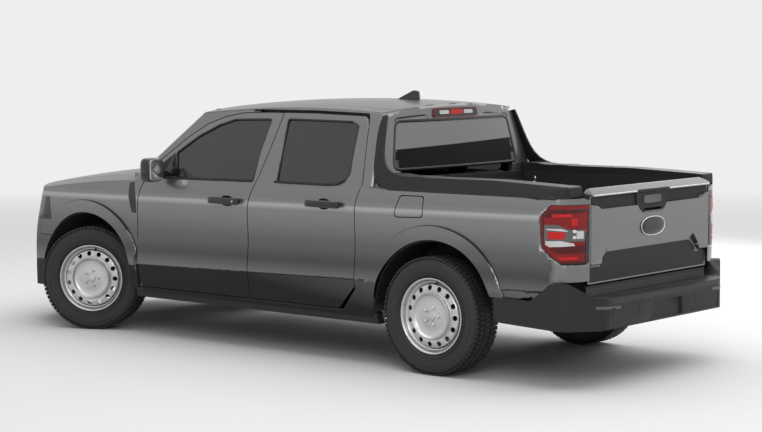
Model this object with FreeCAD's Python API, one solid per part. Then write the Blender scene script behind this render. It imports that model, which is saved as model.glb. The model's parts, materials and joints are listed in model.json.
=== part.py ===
# Compact crew-cab pickup truck, standing on its wheels with the front wheels steered left.
# X runs to the truck's left, Y to its rear and Z up. The origin is on the ground, half way along.
import FreeCAD
import Part
import math
import os
from FreeCAD import Vector as V

os.makedirs("parts", exist_ok=True)

# Overall sizes in millimetres
LENGTH = 5072.0
WHEELBASE = 3076.0
REAR_OVERHANG = 1130.0
HALF_SHOULDER = 903.0
HALF_BELT = 868.0
HALF_SILL = 850.0
ROOF_HEIGHT = 1640.0
TRACK_HALF = 796.0
BED_INSIDE_LENGTH = 1381.0
BED_INSIDE_WIDTH = 1354.0
BED_BETWEEN_WHEELS = 1082.0
BED_FLOOR_HEIGHT = 679.0
RAIL_HEIGHT = 1196.0

# Heights of the body lines
SILL_HEIGHT = 268.0
DOOR_BOTTOM = 346.0
CREASE_HEIGHT = 522.0
SHOULDER_HEIGHT = 983.0
BELT_HEIGHT = 1115.0
DOOR_TOP = 1552.0
HOOD_BACK_HEIGHT = 1150.0

# Wheels
TYRE_RADIUS = 362.0
TYRE_WIDTH = 225.0
RIM_RADIUS = 233.0
RIM_WIDTH = 195.0
BARREL_RADIUS = 205.0
HUB_BORE_RADIUS = 32.0
VENT_CIRCLE = 173.5
VENT_RADIUS = 16.0
ARCH_RADIUS = 465.0
ARCH_LIP = 84.0
ARCH_PROUD = 15.0
STEER_REST = 25.3
SHAFT_PLAY = 0.05

# Panels and gaps
SHUT_GAP = 6.0
SEAM = 4.0
SKIN = 45.0
DOOR_INNER = 788.0
GLASS_THICK = 5.0
GLASS_INSET = 6.0
ROOF_THICK = 42.0
PILLAR_THICK = 60.0
LINER_THICK = 10.0
BED_WALL = 24.0
SIDE_THICK = 104.0
POST_INNER = 712.0
CABIN_BASE = BELT_HEIGHT - 60

# Stations along the truck
Y_REAR = LENGTH / 2
Y_FRONT = -LENGTH / 2
Y_REAR_AXLE = Y_REAR - REAR_OVERHANG
Y_FRONT_AXLE = Y_REAR_AXLE - WHEELBASE
BUMPER_REACH = 127.0
Y_TAIL = Y_REAR - BUMPER_REACH
FRONT_DOOR_FRONT = Y_FRONT_AXLE + 515.0
FRONT_DOOR_REAR = Y_REAR_AXLE - 1520.0
REAR_DOOR_REAR = Y_REAR_AXLE - 607.0
HINGE_X = 866.0
FRONT_HINGE_Y = FRONT_DOOR_FRONT + 93.0
REAR_HINGE_Y = FRONT_DOOR_REAR + 86.0
TAILGATE_THICK = 58.0
Y_BED_FRONT = Y_TAIL - TAILGATE_THICK - BED_INSIDE_LENGTH + 6.0


def lerp(a, b, t):
    return a + (b - a) * t


def steps(a, b, count):
    return [lerp(a, b, i / (count - 1.0)) for i in range(count)]


def box(x0, x1, y0, y1, z0, z1):
    return Part.makeBox(x1 - x0, y1 - y0, z1 - z0, V(x0, y0, z0))


def mirrored(shape):
    return shape.mirror(V(0, 0, 0), V(1, 0, 0))


def pair(shape):
    return Part.makeCompound([shape, mirrored(shape)])


def save(node, shape):
    shape.exportStep("parts/" + node + ".step")


def knot_vector(count, degree):
    inner = count - degree - 1
    return [float(k) for k in range(inner + 2)], [degree + 1] + [1] * inner + [degree + 1]


def grid_face(point, us, vs):
    # A smooth face whose control net is laid on a formula, so it never overshoots it.
    net = [[point(u, v) for v in vs] for u in us]
    u_degree = min(3, len(us) - 1)
    v_degree = min(3, len(vs) - 1)
    u_knots, u_mults = knot_vector(len(us), u_degree)
    v_knots, v_mults = knot_vector(len(vs), v_degree)
    surface = Part.BSplineSurface()
    surface.buildFromPolesMultsKnots(net, u_mults, v_mults, u_knots, v_knots, False, False, u_degree, v_degree)
    return surface.toShape()


def rounded(points, place, closed=True):
    # An outline whose corners (a, b, radius) are rounded by arcs; place puts (a, b) in space.
    count = len(points)
    edges = []
    last = None
    first = None
    for i in range(count):
        a, b, radius = points[i]
        pa, pb = points[i - 1][:2]
        na, nb = points[(i + 1) % count][:2]
        if radius <= 0:
            start = (a, b)
            end = (a, b)
            middle = None
        else:
            before = math.hypot(pa - a, pb - b)
            after = math.hypot(na - a, nb - b)
            ua, ub = (pa - a) / before, (pb - b) / before
            wa, wb = (na - a) / after, (nb - b) / after
            half = math.acos(max(-1.0, min(1.0, ua * wa + ub * wb))) / 2
            cut = radius / math.tan(half)
            start = (a + ua * cut, b + ub * cut)
            end = (a + wa * cut, b + wb * cut)
            size = math.hypot(ua + wa, ub + wb)
            deep = radius / math.sin(half) - radius
            middle = (a + (ua + wa) / size * deep, b + (ub + wb) / size * deep)
        if last is not None and math.hypot(last[0] - start[0], last[1] - start[1]) > 1e-6:
            edges.append(Part.makeLine(place(*last), place(*start)))
        if middle is not None:
            edges.append(Part.Arc(place(*start), place(*middle), place(*end)).toShape())
        last = end
        if first is None:
            first = start
    if math.hypot(last[0] - first[0], last[1] - first[1]) > 1e-6:
        edges.append(Part.makeLine(place(*last), place(*first)))
    return Part.Wire(edges)


def with_radius(points, radius):
    return [tuple(p) if len(p) == 3 else (p[0], p[1], radius) for p in points]


def prism_x(points, x0, x1, radius=0.0):
    # Outline points are (y, z) or (y, z, corner radius).
    wire = rounded(with_radius(points, radius), lambda a, b: V(x0, a, b))
    return Part.Face(wire).extrude(V(x1 - x0, 0, 0))


def prism_y(points, y0, y1, radius=0.0):
    wire = rounded(with_radius(points, radius), lambda a, b: V(a, y0, b))
    return Part.Face(wire).extrude(V(0, y1 - y0, 0))


def prism_z(points, z0, z1, radius=0.0):
    wire = rounded(with_radius(points, radius), lambda a, b: V(a, b, z0))
    return Part.Face(wire).extrude(V(0, 0, z1 - z0))


def disc_x(radius, x0, x1, y, z):
    return Part.makeCylinder(radius, x1 - x0, V(x0, y, z), V(1, 0, 0))


def revolved(points, centre, axis, radial):
    # Outline points are (radius, distance along the axis).
    wire = Part.makePolygon([centre + radial * r + axis * h for r, h in points + points[:1]])
    return Part.Face(wire).revolve(centre, axis, 360)


def smooth(points, count):
    # Points spread evenly along the smooth curve through a few (a, b) points, as sharp corners.
    curve = Part.BSplineCurve()
    curve.interpolate([V(a, b, 0) for a, b in points])
    places = [curve.value(t) for t in steps(curve.FirstParameter, curve.LastParameter, count)]
    return [(v.x, v.y, 0) for v in places]


def sunk(rim, y_rim, floor, y_floor):
    # A recess with sloping walls, from its rim to its smaller floor.
    wires = []
    for points, y in ((rim, y_rim), (floor, y_floor)):
        corners = [V(a, y, b) for a, b in points]
        wires.append(Part.makePolygon(corners + corners[:1]))
    return Part.makeLoft(wires, True, True)


def largest(shape):
    return max(shape.Solids, key=lambda s: s.Volume)


def at(shape, x, y, z):
    # The solid of a split shape that lies nearest a point.
    probe = Part.Vertex(x, y, z)
    return min(shape.Solids, key=lambda s: s.distToShape(probe)[0])


# The outer surfaces, each a formula

def crease_height(y):
    return CREASE_HEIGHT + 0.0235 * y


def shoulder_height(y):
    return SHOULDER_HEIGHT + 0.016 * y


def drawn_in(y):
    ahead = max(0.0, Y_FRONT_AXLE + 150 - y) / 700
    behind = max(0.0, y - Y_REAR_AXLE - 350) / 600
    return 28 * ahead ** 2 + 14 * behind ** 2


def side_half(y, z):
    crease = crease_height(y)
    shoulder = shoulder_height(y)
    if z <= crease:
        t = max(0.0, (z - SILL_HEIGHT) / (crease - SILL_HEIGHT))
        x = lerp(HALF_SILL, HALF_SHOULDER - 4, t ** 0.9)
    elif z <= shoulder:
        t = (z - crease) / (shoulder - crease)
        x = HALF_SHOULDER - 15 * math.sin(math.pi * t) ** 2 - 6 * (1 - math.exp((crease - z) / 25.0)) * (1 - t)
    else:
        t = (z - shoulder) / (BELT_HEIGHT - shoulder)
        x = lerp(HALF_SHOULDER, HALF_BELT, t ** 1.7)
    return x - drawn_in(y)


def cabin_half(y, z):
    # Bowed in plan, the more so the higher it is, so that it meets the side at the belt.
    rise = z - BELT_HEIGHT
    bowed = 10 * (y / 1000.0) ** 2 * min(1.0, max(0.0, rise) / 300)
    return HALF_BELT - 1 - 0.33 * rise - 0.00013 * rise ** 2 - bowed


def hood_height(x, y):
    s = (FRONT_DOOR_FRONT - y) / 1250
    return HOOD_BACK_HEIGHT - 55 * s - 85 * s * abs(s) - 75 * (abs(x) / 880) ** 2.4


def nose_station(x, z):
    lean = max(0.0, z - 600) / 400
    return Y_FRONT + 95 * lean ** 1.5 + 360 * (abs(x) / 905) ** 3.2


def tail_station(x, z):
    return Y_TAIL - 240 * (abs(x) / 905) ** 12


def roof_height(x, y):
    return ROOF_HEIGHT - 5.0e-5 * (y - 300) ** 2 - 1.0e-4 * x ** 2


def windshield_station(x, z):
    return Y_FRONT_AXLE + 370 + 1.20 * (z - 1110) + 1.9e-4 * x ** 2


def backlight_station(x, z):
    return Y_REAR_AXLE - 495 + 0.153 * (1525 - z) - 7.0e-5 * x ** 2


def side_face(y0, y1, inset=0.0, above=0.0):
    # The side, with rows packed where the surface bends at the crease.
    ys = steps(y0, y1, max(6, int((y1 - y0) / 90)))

    def place(y, t):
        crease = crease_height(y)
        return lerp(crease, BELT_HEIGHT, t) if t >= 0 else lerp(crease, SILL_HEIGHT, -t)

    ts = [-1, -0.7, -0.4, -0.2, -0.08, -0.03, 0, 0.012, 0.035, 0.07, 0.13, 0.22, 0.34, 0.47, 0.59, 0.68,
          0.75, 0.79, 0.84, 0.89, 0.94, 1] + ([1 + above] if above else [])
    return grid_face(lambda y, t: V(side_half(y, place(y, t)) - inset, y, place(y, t)), ys, ts)


def side_volume(y0, y1, depth, inset=0.0, above=0.0):
    return side_face(y0, y1, inset, above).extrude(V(-depth, 0, 0))


def cabin_face(inset=0.0, y0=None, y1=None):
    y0 = Y_FRONT_AXLE + 250 if y0 is None else y0
    y1 = Y_REAR_AXLE - 350 if y1 is None else y1
    ys = steps(y0, y1, 12)
    zs = steps(CABIN_BASE, ROOF_HEIGHT + 60, 10)
    return grid_face(lambda y, z: V(cabin_half(y, z) - inset, y, z), ys, zs)


def cabin_volume(side, top, front, back):
    # The space inside the greenhouse surfaces, each moved in by its own amount.
    left = cabin_face(side).extrude(V(-2 * HALF_SHOULDER, 0, 0))
    body = left.common(mirrored(left))
    xs = steps(-900, 900, 15)
    roof = grid_face(lambda x, y: V(x, y, roof_height(x, y) - top), xs, steps(-1700, 1300, 12))
    body = body.common(roof.extrude(V(0, 0, -900)))
    shield = grid_face(lambda x, z: V(x, windshield_station(x, z) + front, z), xs, steps(1050, 1750, 8))
    body = body.common(shield.extrude(V(0, 2700, 0)))
    glass = grid_face(lambda x, z: V(x, backlight_station(x, z) - back, z), xs, steps(1050, 1750, 4))
    return body.common(glass.extrude(V(0, -2700, 0)))


def nose_volume(inset=0.0):
    xs = [905 * math.sin(math.radians(a)) for a in steps(-90, 90, 25)]
    face = grid_face(lambda x, z: V(x, nose_station(x, z) + inset, z), xs, steps(180, 1200, 14))
    return face.extrude(V(0, 1500, 0))


def tail_volume(inset=0.0):
    xs = [915 * math.sin(math.radians(a)) for a in steps(-90, 90, 41)]
    face = grid_face(lambda x, z: V(x, tail_station(x * 905 / 915, z) - inset, z), xs, steps(200, 1750, 4))
    return face.extrude(V(0, -1700, 0))


def hood_volume(inset=0.0):
    xs = steps(-920, 920, 21)
    face = grid_face(lambda x, y: V(x, y, hood_height(x, y) - inset), xs, steps(Y_FRONT - 60, -1000, 12))
    return face.extrude(V(0, 0, -1100))


# Door outlines in the side view, from the shut lines

def front_edge(z):
    # Shut line between fender and front door.
    low = (z - 625) / 300.0
    return FRONT_DOOR_FRONT + 8 + 18 * low ** 2 + 30 * max(0.0, (z - 900) / 170) ** 2.2


def middle_edge(z):
    # Shut line between the doors.
    bend = max(0.0, z - 860)
    return FRONT_DOOR_REAR + 0.00105 * min(bend, 200) ** 2 + 0.33 * max(0.0, bend - 200) \
        - 0.00022 * max(0.0, bend - 200) ** 2


def rear_edge(z):
    # Shut line behind the rear door.
    bend = max(0.0, z - 830)
    if z < BELT_HEIGHT + 30:
        return REAR_DOOR_REAR + 0.00037 * bend ** 2
    return REAR_DOOR_REAR + 36.7 - 0.185 * (z - BELT_HEIGHT - 30)


def surface_half(y, z):
    return side_half(y, z) if z <= BELT_HEIGHT else cabin_half(y, z)


def swing(hinge_y, edge, z_values, play=0.0):
    # The round space that an edge of a door sweeps about its hinge line.
    profile = []
    for z in z_values:
        reach = math.hypot(surface_half(edge(z), z) - HINGE_X, edge(z) - hinge_y)
        profile.append((reach + play, z))
    outline = [(0, z_values[0])] + profile + [(0, z_values[-1])]
    return revolved(outline, V(HINGE_X, hinge_y, 0), V(0, 0, 1), V(0, 1, 0))


LOW_TO_BELT = [180, 346, 420, 500, 560, 700, 830, 900, 960, 1020, 1070, 1112]
LOW_TO_TOP = LOW_TO_BELT + [1145, 1200, 1300, 1420, 1560, 1700]


def front_leaf():
    return swing(FRONT_HINGE_Y, middle_edge, LOW_TO_TOP)


A_PILLAR_LINE = [
    (FRONT_DOOR_FRONT + 90, BELT_HEIGHT + 14, 12),
    (FRONT_DOOR_FRONT + 188, 1217, 0),
    (FRONT_DOOR_FRONT + 401, 1381, 0),
    (FRONT_DOOR_FRONT + 542, 1467, 0),
    (FRONT_DOOR_FRONT + 691, 1518, 0),
    (FRONT_DOOR_FRONT + 845, 1545, 0),
    (FRONT_DOOR_FRONT + 1090, DOOR_TOP + 2, 0),
]


def front_outline(grow=0.0):
    zs = [1070, 1020, 960, 900, 830, 700, 560, 460, DOOR_BOTTOM - grow]
    front = [(front_edge(z) - grow, z, 0) for z in zs]
    top = [(y - 0.6 * grow, z + 0.8 * grow, r) for y, z, r in A_PILLAR_LINE]
    return front + [(FRONT_DOOR_REAR + 260, DOOR_BOTTOM - grow, 0),
                    (FRONT_DOOR_REAR + 260, DOOR_TOP + 2 + grow, 0)] + top[::-1]


def rear_outline(grow=0.0):
    zs = [DOOR_BOTTOM + 150, 560, 700, 830, 900, 960, 1020, 1070, 1110, 1145]
    rear = [(rear_edge(z) + grow, z, 0) for z in zs]
    return [(FRONT_DOOR_REAR - 120, DOOR_BOTTOM - grow, 0),
            (REAR_DOOR_REAR - 146 + grow, DOOR_BOTTOM - grow, 12)] + rear + [
            (rear_edge(1300) + grow, 1300, 0), (rear_edge(1480) + grow, 1480, 20),
            (rear_edge(1540) - 28 + grow, DOOR_TOP - 4 + grow, 8),
            (FRONT_DOOR_REAR + 430, DOOR_TOP + 5 + grow, 0), (FRONT_DOOR_REAR - 120, DOOR_TOP + 1 + grow, 0)]


def front_window():
    return [(FRONT_DOOR_FRONT + 378, BELT_HEIGHT - 13, 16), (FRONT_DOOR_REAR + 28, BELT_HEIGHT - 1, 16),
            (FRONT_DOOR_REAR + 59, 1513, 14), (FRONT_DOOR_FRONT + 782, 1503, 40),
            (FRONT_DOOR_FRONT + 647, 1463, 0), (FRONT_DOOR_FRONT + 487, 1386, 0),
            (FRONT_DOOR_FRONT + 318, 1270, 20)]


def rear_window_outline():
    return [(FRONT_DOOR_REAR + 241, BELT_HEIGHT + 1, 16), (REAR_DOOR_REAR - 215, BELT_HEIGHT + 2, 60),
            (REAR_DOOR_REAR - 106, 1148, 30), (REAR_DOOR_REAR - 81, 1195, 20),
            (REAR_DOOR_REAR - 106, 1490, 20), (REAR_DOOR_REAR - 166, 1514, 30),
            (FRONT_DOOR_REAR + 209, 1517, 14)]


def door_stock():
    lower = side_volume(FRONT_DOOR_FRONT - 120, REAR_DOOR_REAR + 120, 400)
    lower = lower.common(box(DOOR_INNER, 1000, -2000, 1500, 200, BELT_HEIGHT + 1))
    upper = cabin_face().extrude(V(-PILLAR_THICK, 0, 0))
    upper = upper.common(box(0, 1000, -2000, 1500, BELT_HEIGHT, 2000))
    return lower.fuse(upper)


def door_glass(outline):
    face = cabin_face(GLASS_INSET)
    pane = face.extrude(V(-GLASS_THICK, 0, 0))
    return largest(pane.common(prism_x(outline, 500, 1000)))


def front_door(stock, rear_swing):
    door = stock.common(prism_x(front_outline(), 500, 1000))
    door = door.common(front_leaf())
    nose = swing(FRONT_HINGE_Y, front_edge, LOW_TO_BELT)
    ahead = box(500, 1000, FRONT_HINGE_Y - 400, FRONT_HINGE_Y, 200, 1100)
    door = door.cut(ahead.cut(nose))
    door = door.cut(rear_swing)
    return largest(door.cut(prism_x(front_window(), 500, 1000)))


def rear_door(stock, front_swing):
    door = stock.common(prism_x(rear_outline(), 500, 1000))
    door = door.cut(front_swing)
    ahead = box(500, 1000, REAR_HINGE_Y - 400, REAR_HINGE_Y, 200, 1112)
    door = door.cut(ahead.cut(rear_door_nose()))
    door = door.common(swing(REAR_HINGE_Y, rear_edge, LOW_TO_TOP))
    return largest(door.cut(prism_x(rear_window_outline(), 500, 1000)))


def rear_door_nose(play=0.0):
    return swing(REAR_HINGE_Y, lambda z: middle_edge(z) + SHUT_GAP, LOW_TO_BELT, play)


def door_pockets():
    # The room of both left doors with their gaps, and of the swing of their ends.
    deep = cabin_face().extrude(V(-PILLAR_THICK - SHUT_GAP, 0, 0))
    deep = deep.common(box(0, 1000, -2000, 1500, BELT_HEIGHT, 2000))
    deep = deep.fuse(box(DOOR_INNER - SHUT_GAP, 1000, -2000, 1500, 200, BELT_HEIGHT))
    room = prism_x(front_outline(SHUT_GAP), 500, 1000).fuse(prism_x(rear_outline(SHUT_GAP), 500, 1000))
    arc = swing(REAR_HINGE_Y, rear_edge, LOW_TO_TOP, SHUT_GAP)
    room = room.fuse(arc.common(prism_x(rear_outline(SHUT_GAP + 14), 500, 1000)))
    pocket = deep.common(room)
    ends = swing(FRONT_HINGE_Y, front_edge, LOW_TO_BELT, SHUT_GAP)
    ends = ends.common(box(500, 1100, -2000, FRONT_HINGE_Y + 120, DOOR_BOTTOM - SHUT_GAP, 1100))
    nose = rear_door_nose(SHUT_GAP)
    nose = nose.common(box(500, 1100, REAR_HINGE_Y - 200, REAR_HINGE_Y + 200, DOOR_BOTTOM - SHUT_GAP, 1112))
    return [pocket, ends, nose]


def apertures():
    # The openings behind the doors that people climb through.
    lip = 42
    z0 = 470
    front = [(front_edge(600) + 105, z0, 60), (FRONT_DOOR_REAR - 62, z0, 60),
             (FRONT_DOOR_REAR + 30, BELT_HEIGHT, 0), (FRONT_DOOR_REAR + 62, DOOR_TOP - lip, 30)]
    front += [(y + 25, z - lip, 0) for y, z, r in A_PILLAR_LINE[::-1][1:]]
    rear = [(FRONT_DOOR_REAR + 60, z0, 60), (REAR_DOOR_REAR - 190, z0, 60), (REAR_DOOR_REAR - 62, 640, 60),
            (REAR_DOOR_REAR - 58, 1150, 0), (REAR_DOOR_REAR - 92, DOOR_TOP - lip, 50),
            (FRONT_DOOR_REAR + 170, DOOR_TOP - lip, 30), (FRONT_DOOR_REAR + 140, BELT_HEIGHT, 0)]
    return prism_x(front, 400, 1000).fuse(prism_x(rear, 400, 1000))


def windshield_outline(grow=0.0):
    low, high = 1100 - grow, 1562 + grow
    return [(-770 - grow, low, 0), (770 + grow, low, 0), (596 + grow, high, 60), (-596 - grow, high, 60)]


def backlight_outline(grow=0.0):
    low, high = 1206 - grow, 1526 + grow
    return [(-668 - grow, low, 50), (668 + grow, low, 50), (600 + grow, high, 60), (-600 - grow, high, 60)]


def glazing():
    xs = steps(-900, 900, 15)
    front = grid_face(lambda x, z: V(x, windshield_station(x, z) + 3, z), xs, steps(1050, 1750, 8))
    front = front.extrude(V(0, 8, 0)).common(prism_y(windshield_outline(), -1500, -300))
    back = grid_face(lambda x, z: V(x, backlight_station(x, z) - 3, z), xs, steps(1050, 1750, 4))
    back = back.extrude(V(0, -6, 0)).common(prism_y(backlight_outline(), 700, 1100))
    return largest(front), largest(back)


def rounded_cabin():
    whole = cabin_volume(0, 0, 0, 0)
    edges = []
    for edge in whole.Edges:
        mid = edge.valueAt((edge.FirstParameter + edge.LastParameter) / 2)
        if mid.z > CABIN_BASE + 5 and abs(mid.x) > 400:
            edges.append(edge)
    return whole.makeFillet(34, edges)


def cabin_shell(whole):
    shell = whole.cut(cabin_volume(SIDE_THICK, ROOF_THICK, 40, 40))
    shell = shell.cut(prism_y(windshield_outline(), -1600, -300))
    return shell.cut(prism_y(backlight_outline(), 800, 1300))


def front_body(side):
    # The whole front end ahead of the doors, as a thick hollow body open below and behind.
    depth = 2 * HALF_SHOULDER
    left = side_volume(Y_FRONT - 20, FRONT_DOOR_FRONT + 120, depth, side, 0.1)
    body = left.common(mirrored(left))
    return body.common(nose_volume(side)).common(hood_volume(side * 0.8))


HOOD_HALF = 715.0
HOOD_BACK_GAP = 9.0
HOOD_HINGE_Y = Y_FRONT_AXLE + 410.0
HOOD_HINGE_Z = 1090.0
HOOD_PIN = 5.0


def hood_back(x, shift=0.0):
    return windshield_station(x, BELT_HEIGHT) - 76 + shift


def hood_outline(grow=0.0):
    # Plan outline of the hood, straight at the sides and bowed at both ends.
    half = HOOD_HALF + grow
    back = [V(x, hood_back(x, grow), 0) for x in steps(-half, half, 9)]
    front = [V(x, nose_station(x, 985) + 34 - grow, 0) for x in steps(half - 30, -half + 30, 9)]
    rear = Part.BSplineCurve()
    rear.interpolate(back)
    fore = Part.BSplineCurve()
    fore.interpolate(front)
    edges = [rear.toShape(), Part.makeLine(back[-1], front[0]), fore.toShape(), Part.makeLine(front[-1], back[0])]
    face = Part.Face(Part.Wire(edges))
    face.translate(V(0, 0, 800))
    return face.extrude(V(0, 0, 500))


def hood_pin(play=0.0):
    # Hinge pin at the hood's left rear corner, held in the post of the cab.
    return disc_x(HOOD_PIN + play, HOOD_HALF - 24, HOOD_HALF + 17, HOOD_HINGE_Y, HOOD_HINGE_Z)


def hood_ear(grow=0.0):
    # The lug that carries the pin, under the corner of the hood.
    return box(HOOD_HALF - 24 - grow, HOOD_HALF - 6 + grow, HOOD_HINGE_Y - 34 - grow, HOOD_HINGE_Y + 8 + grow,
               HOOD_HINGE_Z - 14 - grow, HOOD_HINGE_Z + 6 + grow)


def tyre_solid(centre):
    r, w = TYRE_RADIUS, TYRE_WIDTH / 2
    bead = RIM_WIDTH / 2 - 13.2
    outer = [(RIM_RADIUS - 9.8, bead), (RIM_RADIUS + 4, bead), (RIM_RADIUS + 16, bead + 14), (r - 75, w),
             (r - 28, w - 5), (r - 8, w - 22), (r, w - 48)]
    inner = [(r - 16, w - 40), (r - 30, w - 18), (r - 75, w - 12), (RIM_RADIUS + 10, bead - 10),
             (RIM_RADIUS - 9.8, bead - 14)]
    right = [(a, -b) for a, b in outer]
    left_in = [(a, -b) for a, b in inner]
    loop = outer + right[::-1] + left_in[::-1] + inner
    return revolved(loop, centre, V(1, 0, 0), V(0, 0, 1))


def rim_solid(centre, out):
    # out is +1 where the outer face looks to +X.
    w = RIM_WIDTH / 2
    r = RIM_RADIUS
    outer = [(r, w - 12), (r, w), (r - 6, w), (r - 11, w - 4), (r - 15, w - 14), (r - 19, w - 28),
             (r - 27, w - 31), (r - 33, w - 33), (r - 35, w - 46), (196, w - 38), (194, w - 22), (189, w - 18),
             (158, w - 11), (151, w - 15), (145, w - 14), (140, w + 3), (137, w + 6), (133, w + 3),
             (130, w - 4), (119, w - 12), (100, w - 17), (82, w - 17), (75, w - 11), (HUB_BORE_RADIUS, w - 11)]
    back = [(HUB_BORE_RADIUS, 27), (60, 27), (68, w - 19), (82, w - 25), (100, w - 25), (122, w - 20),
            (132, w - 13), (137, w - 7), (142, w - 20), (151, w - 23), (158, w - 19), (187, w - 26),
            (190, w - 40), (196, 40), (BARREL_RADIUS, -20), (BARREL_RADIUS + 4, -w + 30)]
    tyre_side = [(r - 22, -w + 14), (r - 8, -w), (r, -w), (r, -w + 12), (r - 10, -w + 13), (r - 14, -w + 34),
                 (BARREL_RADIUS + 12, -w + 36), (BARREL_RADIUS + 8, w - 46), (r - 14, w - 34), (r - 10, w - 13)]
    section = outer + back + tyre_side
    rim = revolved([(a, b * out) for a, b in section], centre, V(1, 0, 0), V(0, 0, 1))
    vents = []
    for i in range(15):
        angle = math.radians(24 * i)
        y, z = VENT_CIRCLE * math.cos(angle), VENT_CIRCLE * math.sin(angle)
        vents.append(disc_x(VENT_RADIUS, centre.x - 120, centre.x + 120, centre.y + y, centre.z + z))
    return rim.cut(Part.makeCompound(vents))


WHEEL_CENTRES = {
    "front_left": V(TRACK_HALF, Y_FRONT_AXLE, TYRE_RADIUS),
    "front_right": V(-TRACK_HALF, Y_FRONT_AXLE, TYRE_RADIUS),
    "rear_left": V(TRACK_HALF, Y_REAR_AXLE, TYRE_RADIUS),
    "rear_right": V(-TRACK_HALF, Y_REAR_AXLE, TYRE_RADIUS),
}


def turned(shape, centre):
    return shape.rotate(centre, V(0, 0, 1), STEER_REST)


def save_wheels():
    for name, centre in WHEEL_CENTRES.items():
        out = 1 if centre.x > 0 else -1
        for kind, solid in (("tyre", tyre_solid(centre)), ("rim", rim_solid(centre, out))):
            save(kind + "_" + name, turned(solid, centre) if "front" in name else solid)
        if "front" in name:
            save("knuckle" + name[5:], turned(knuckle(centre, out), centre))


def knuckle(centre, out):
    x, y, z = centre
    a, b = sorted((x - out * 70, x + out * 58))
    spindle = disc_x(HUB_BORE_RADIUS - SHAFT_PLAY, a, b, y, z)
    block = disc_x(52, *sorted((x - out * 70, x - out * 4)), y, z)
    post = Part.makeCylinder(20, 250, V(x, y, z - 125))
    return post.fuse(block).fuse(spindle)


def kingpin_arms():
    # Upper and lower arms that hold the steering knuckle's post, fixed at ride height.
    x, y, z = WHEEL_CENTRES["front_left"]
    tower = box(RAIL_OUT, RAIL_OUT + 25, y - 60, y + 60, z - 153, z + 260)
    foot = box(SUBFRAME_HALF - 10, SUBFRAME_HALF + 30, y - 60, y + 60, z - 153, z - 62)
    lower = box(SUBFRAME_HALF - 10, x + 22, y - 24, y + 24, z - 153, z - 125.05)
    upper = box(RAIL_OUT, x + 22, y - 24, y + 24, z + 125.05, z + 153)
    return pair(tower.fuse(foot).fuse(lower).fuse(upper))


def arch_ring(y_axle, y0, y1, shift):
    # The flared lip round a wheel opening.
    centre_y = y_axle + shift
    ys = steps(y0, y1, 14)
    zs = steps(DOOR_BOTTOM - 20, 960, 12)
    face = grid_face(lambda y, z: V(side_half(y, z) + ARCH_PROUD, y, z), ys, zs)
    band = face.extrude(V(-70, 0, 0))
    ring = disc_x(ARCH_RADIUS + ARCH_LIP, 700, 1000, centre_y, TYRE_RADIUS)
    ring = ring.cut(disc_x(ARCH_RADIUS, 700, 1000, centre_y, TYRE_RADIUS))
    return band.common(ring)


def arch_groove(y_axle):
    # The fine groove outside the upper part of the arch lip.
    centre_y = y_axle + ARCH_SHIFT
    reach = ARCH_RADIUS + ARCH_LIP
    ys = steps(centre_y - reach - 40, centre_y + reach + 40, 14)
    face = grid_face(lambda y, z: V(side_half(y, z) + 20, y, z), ys, steps(600, 1010, 8))
    ring = disc_x(reach + ARCH_GROOVE, 700, 1000, centre_y, TYRE_RADIUS)
    ring = ring.cut(disc_x(reach, 700, 1000, centre_y, TYRE_RADIUS))
    return face.extrude(V(-20 - ARCH_GROOVE, 0, 0)).common(ring).common(box(0, 1000, -3000, 3000, 700, 1000))


ARCH_SHIFT = 12.0
ARCH_GROOVE = 6.0
ROOF_HALF = 566.0
CAP_THICK = 14.0
CAP_PROUD = 1.0
CAP_SEAT = 0.4
FASCIA_TOP = 640.0
LAMP_LOW = 762.0
LAMP_HIGH = 905.0
FENDER_FRONT = Y_FRONT + 356.0
RAIL_IN = 400.0
RAIL_OUT = 480.0
SUBFRAME_HALF = 440.0
FLOOR_LOW = 344.0
FLOOR_HIGH = 368.0
TANK_LOW = 236.0
PLATE_PITCH = 177.8
PLATE_HOLE = 3.25
PLATE_HEIGHT = 430.0
FUEL_HINGE = V(893, Y_REAR_AXLE - 271, 960)
FUEL_PIN = 3.0
FUEL_RAKE = V(0, 43, 128).normalize()


def wheel_room(y_axle, radius, x0, x1):
    return disc_x(radius, x0, x1, y_axle + ARCH_SHIFT, TYRE_RADIUS)


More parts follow.
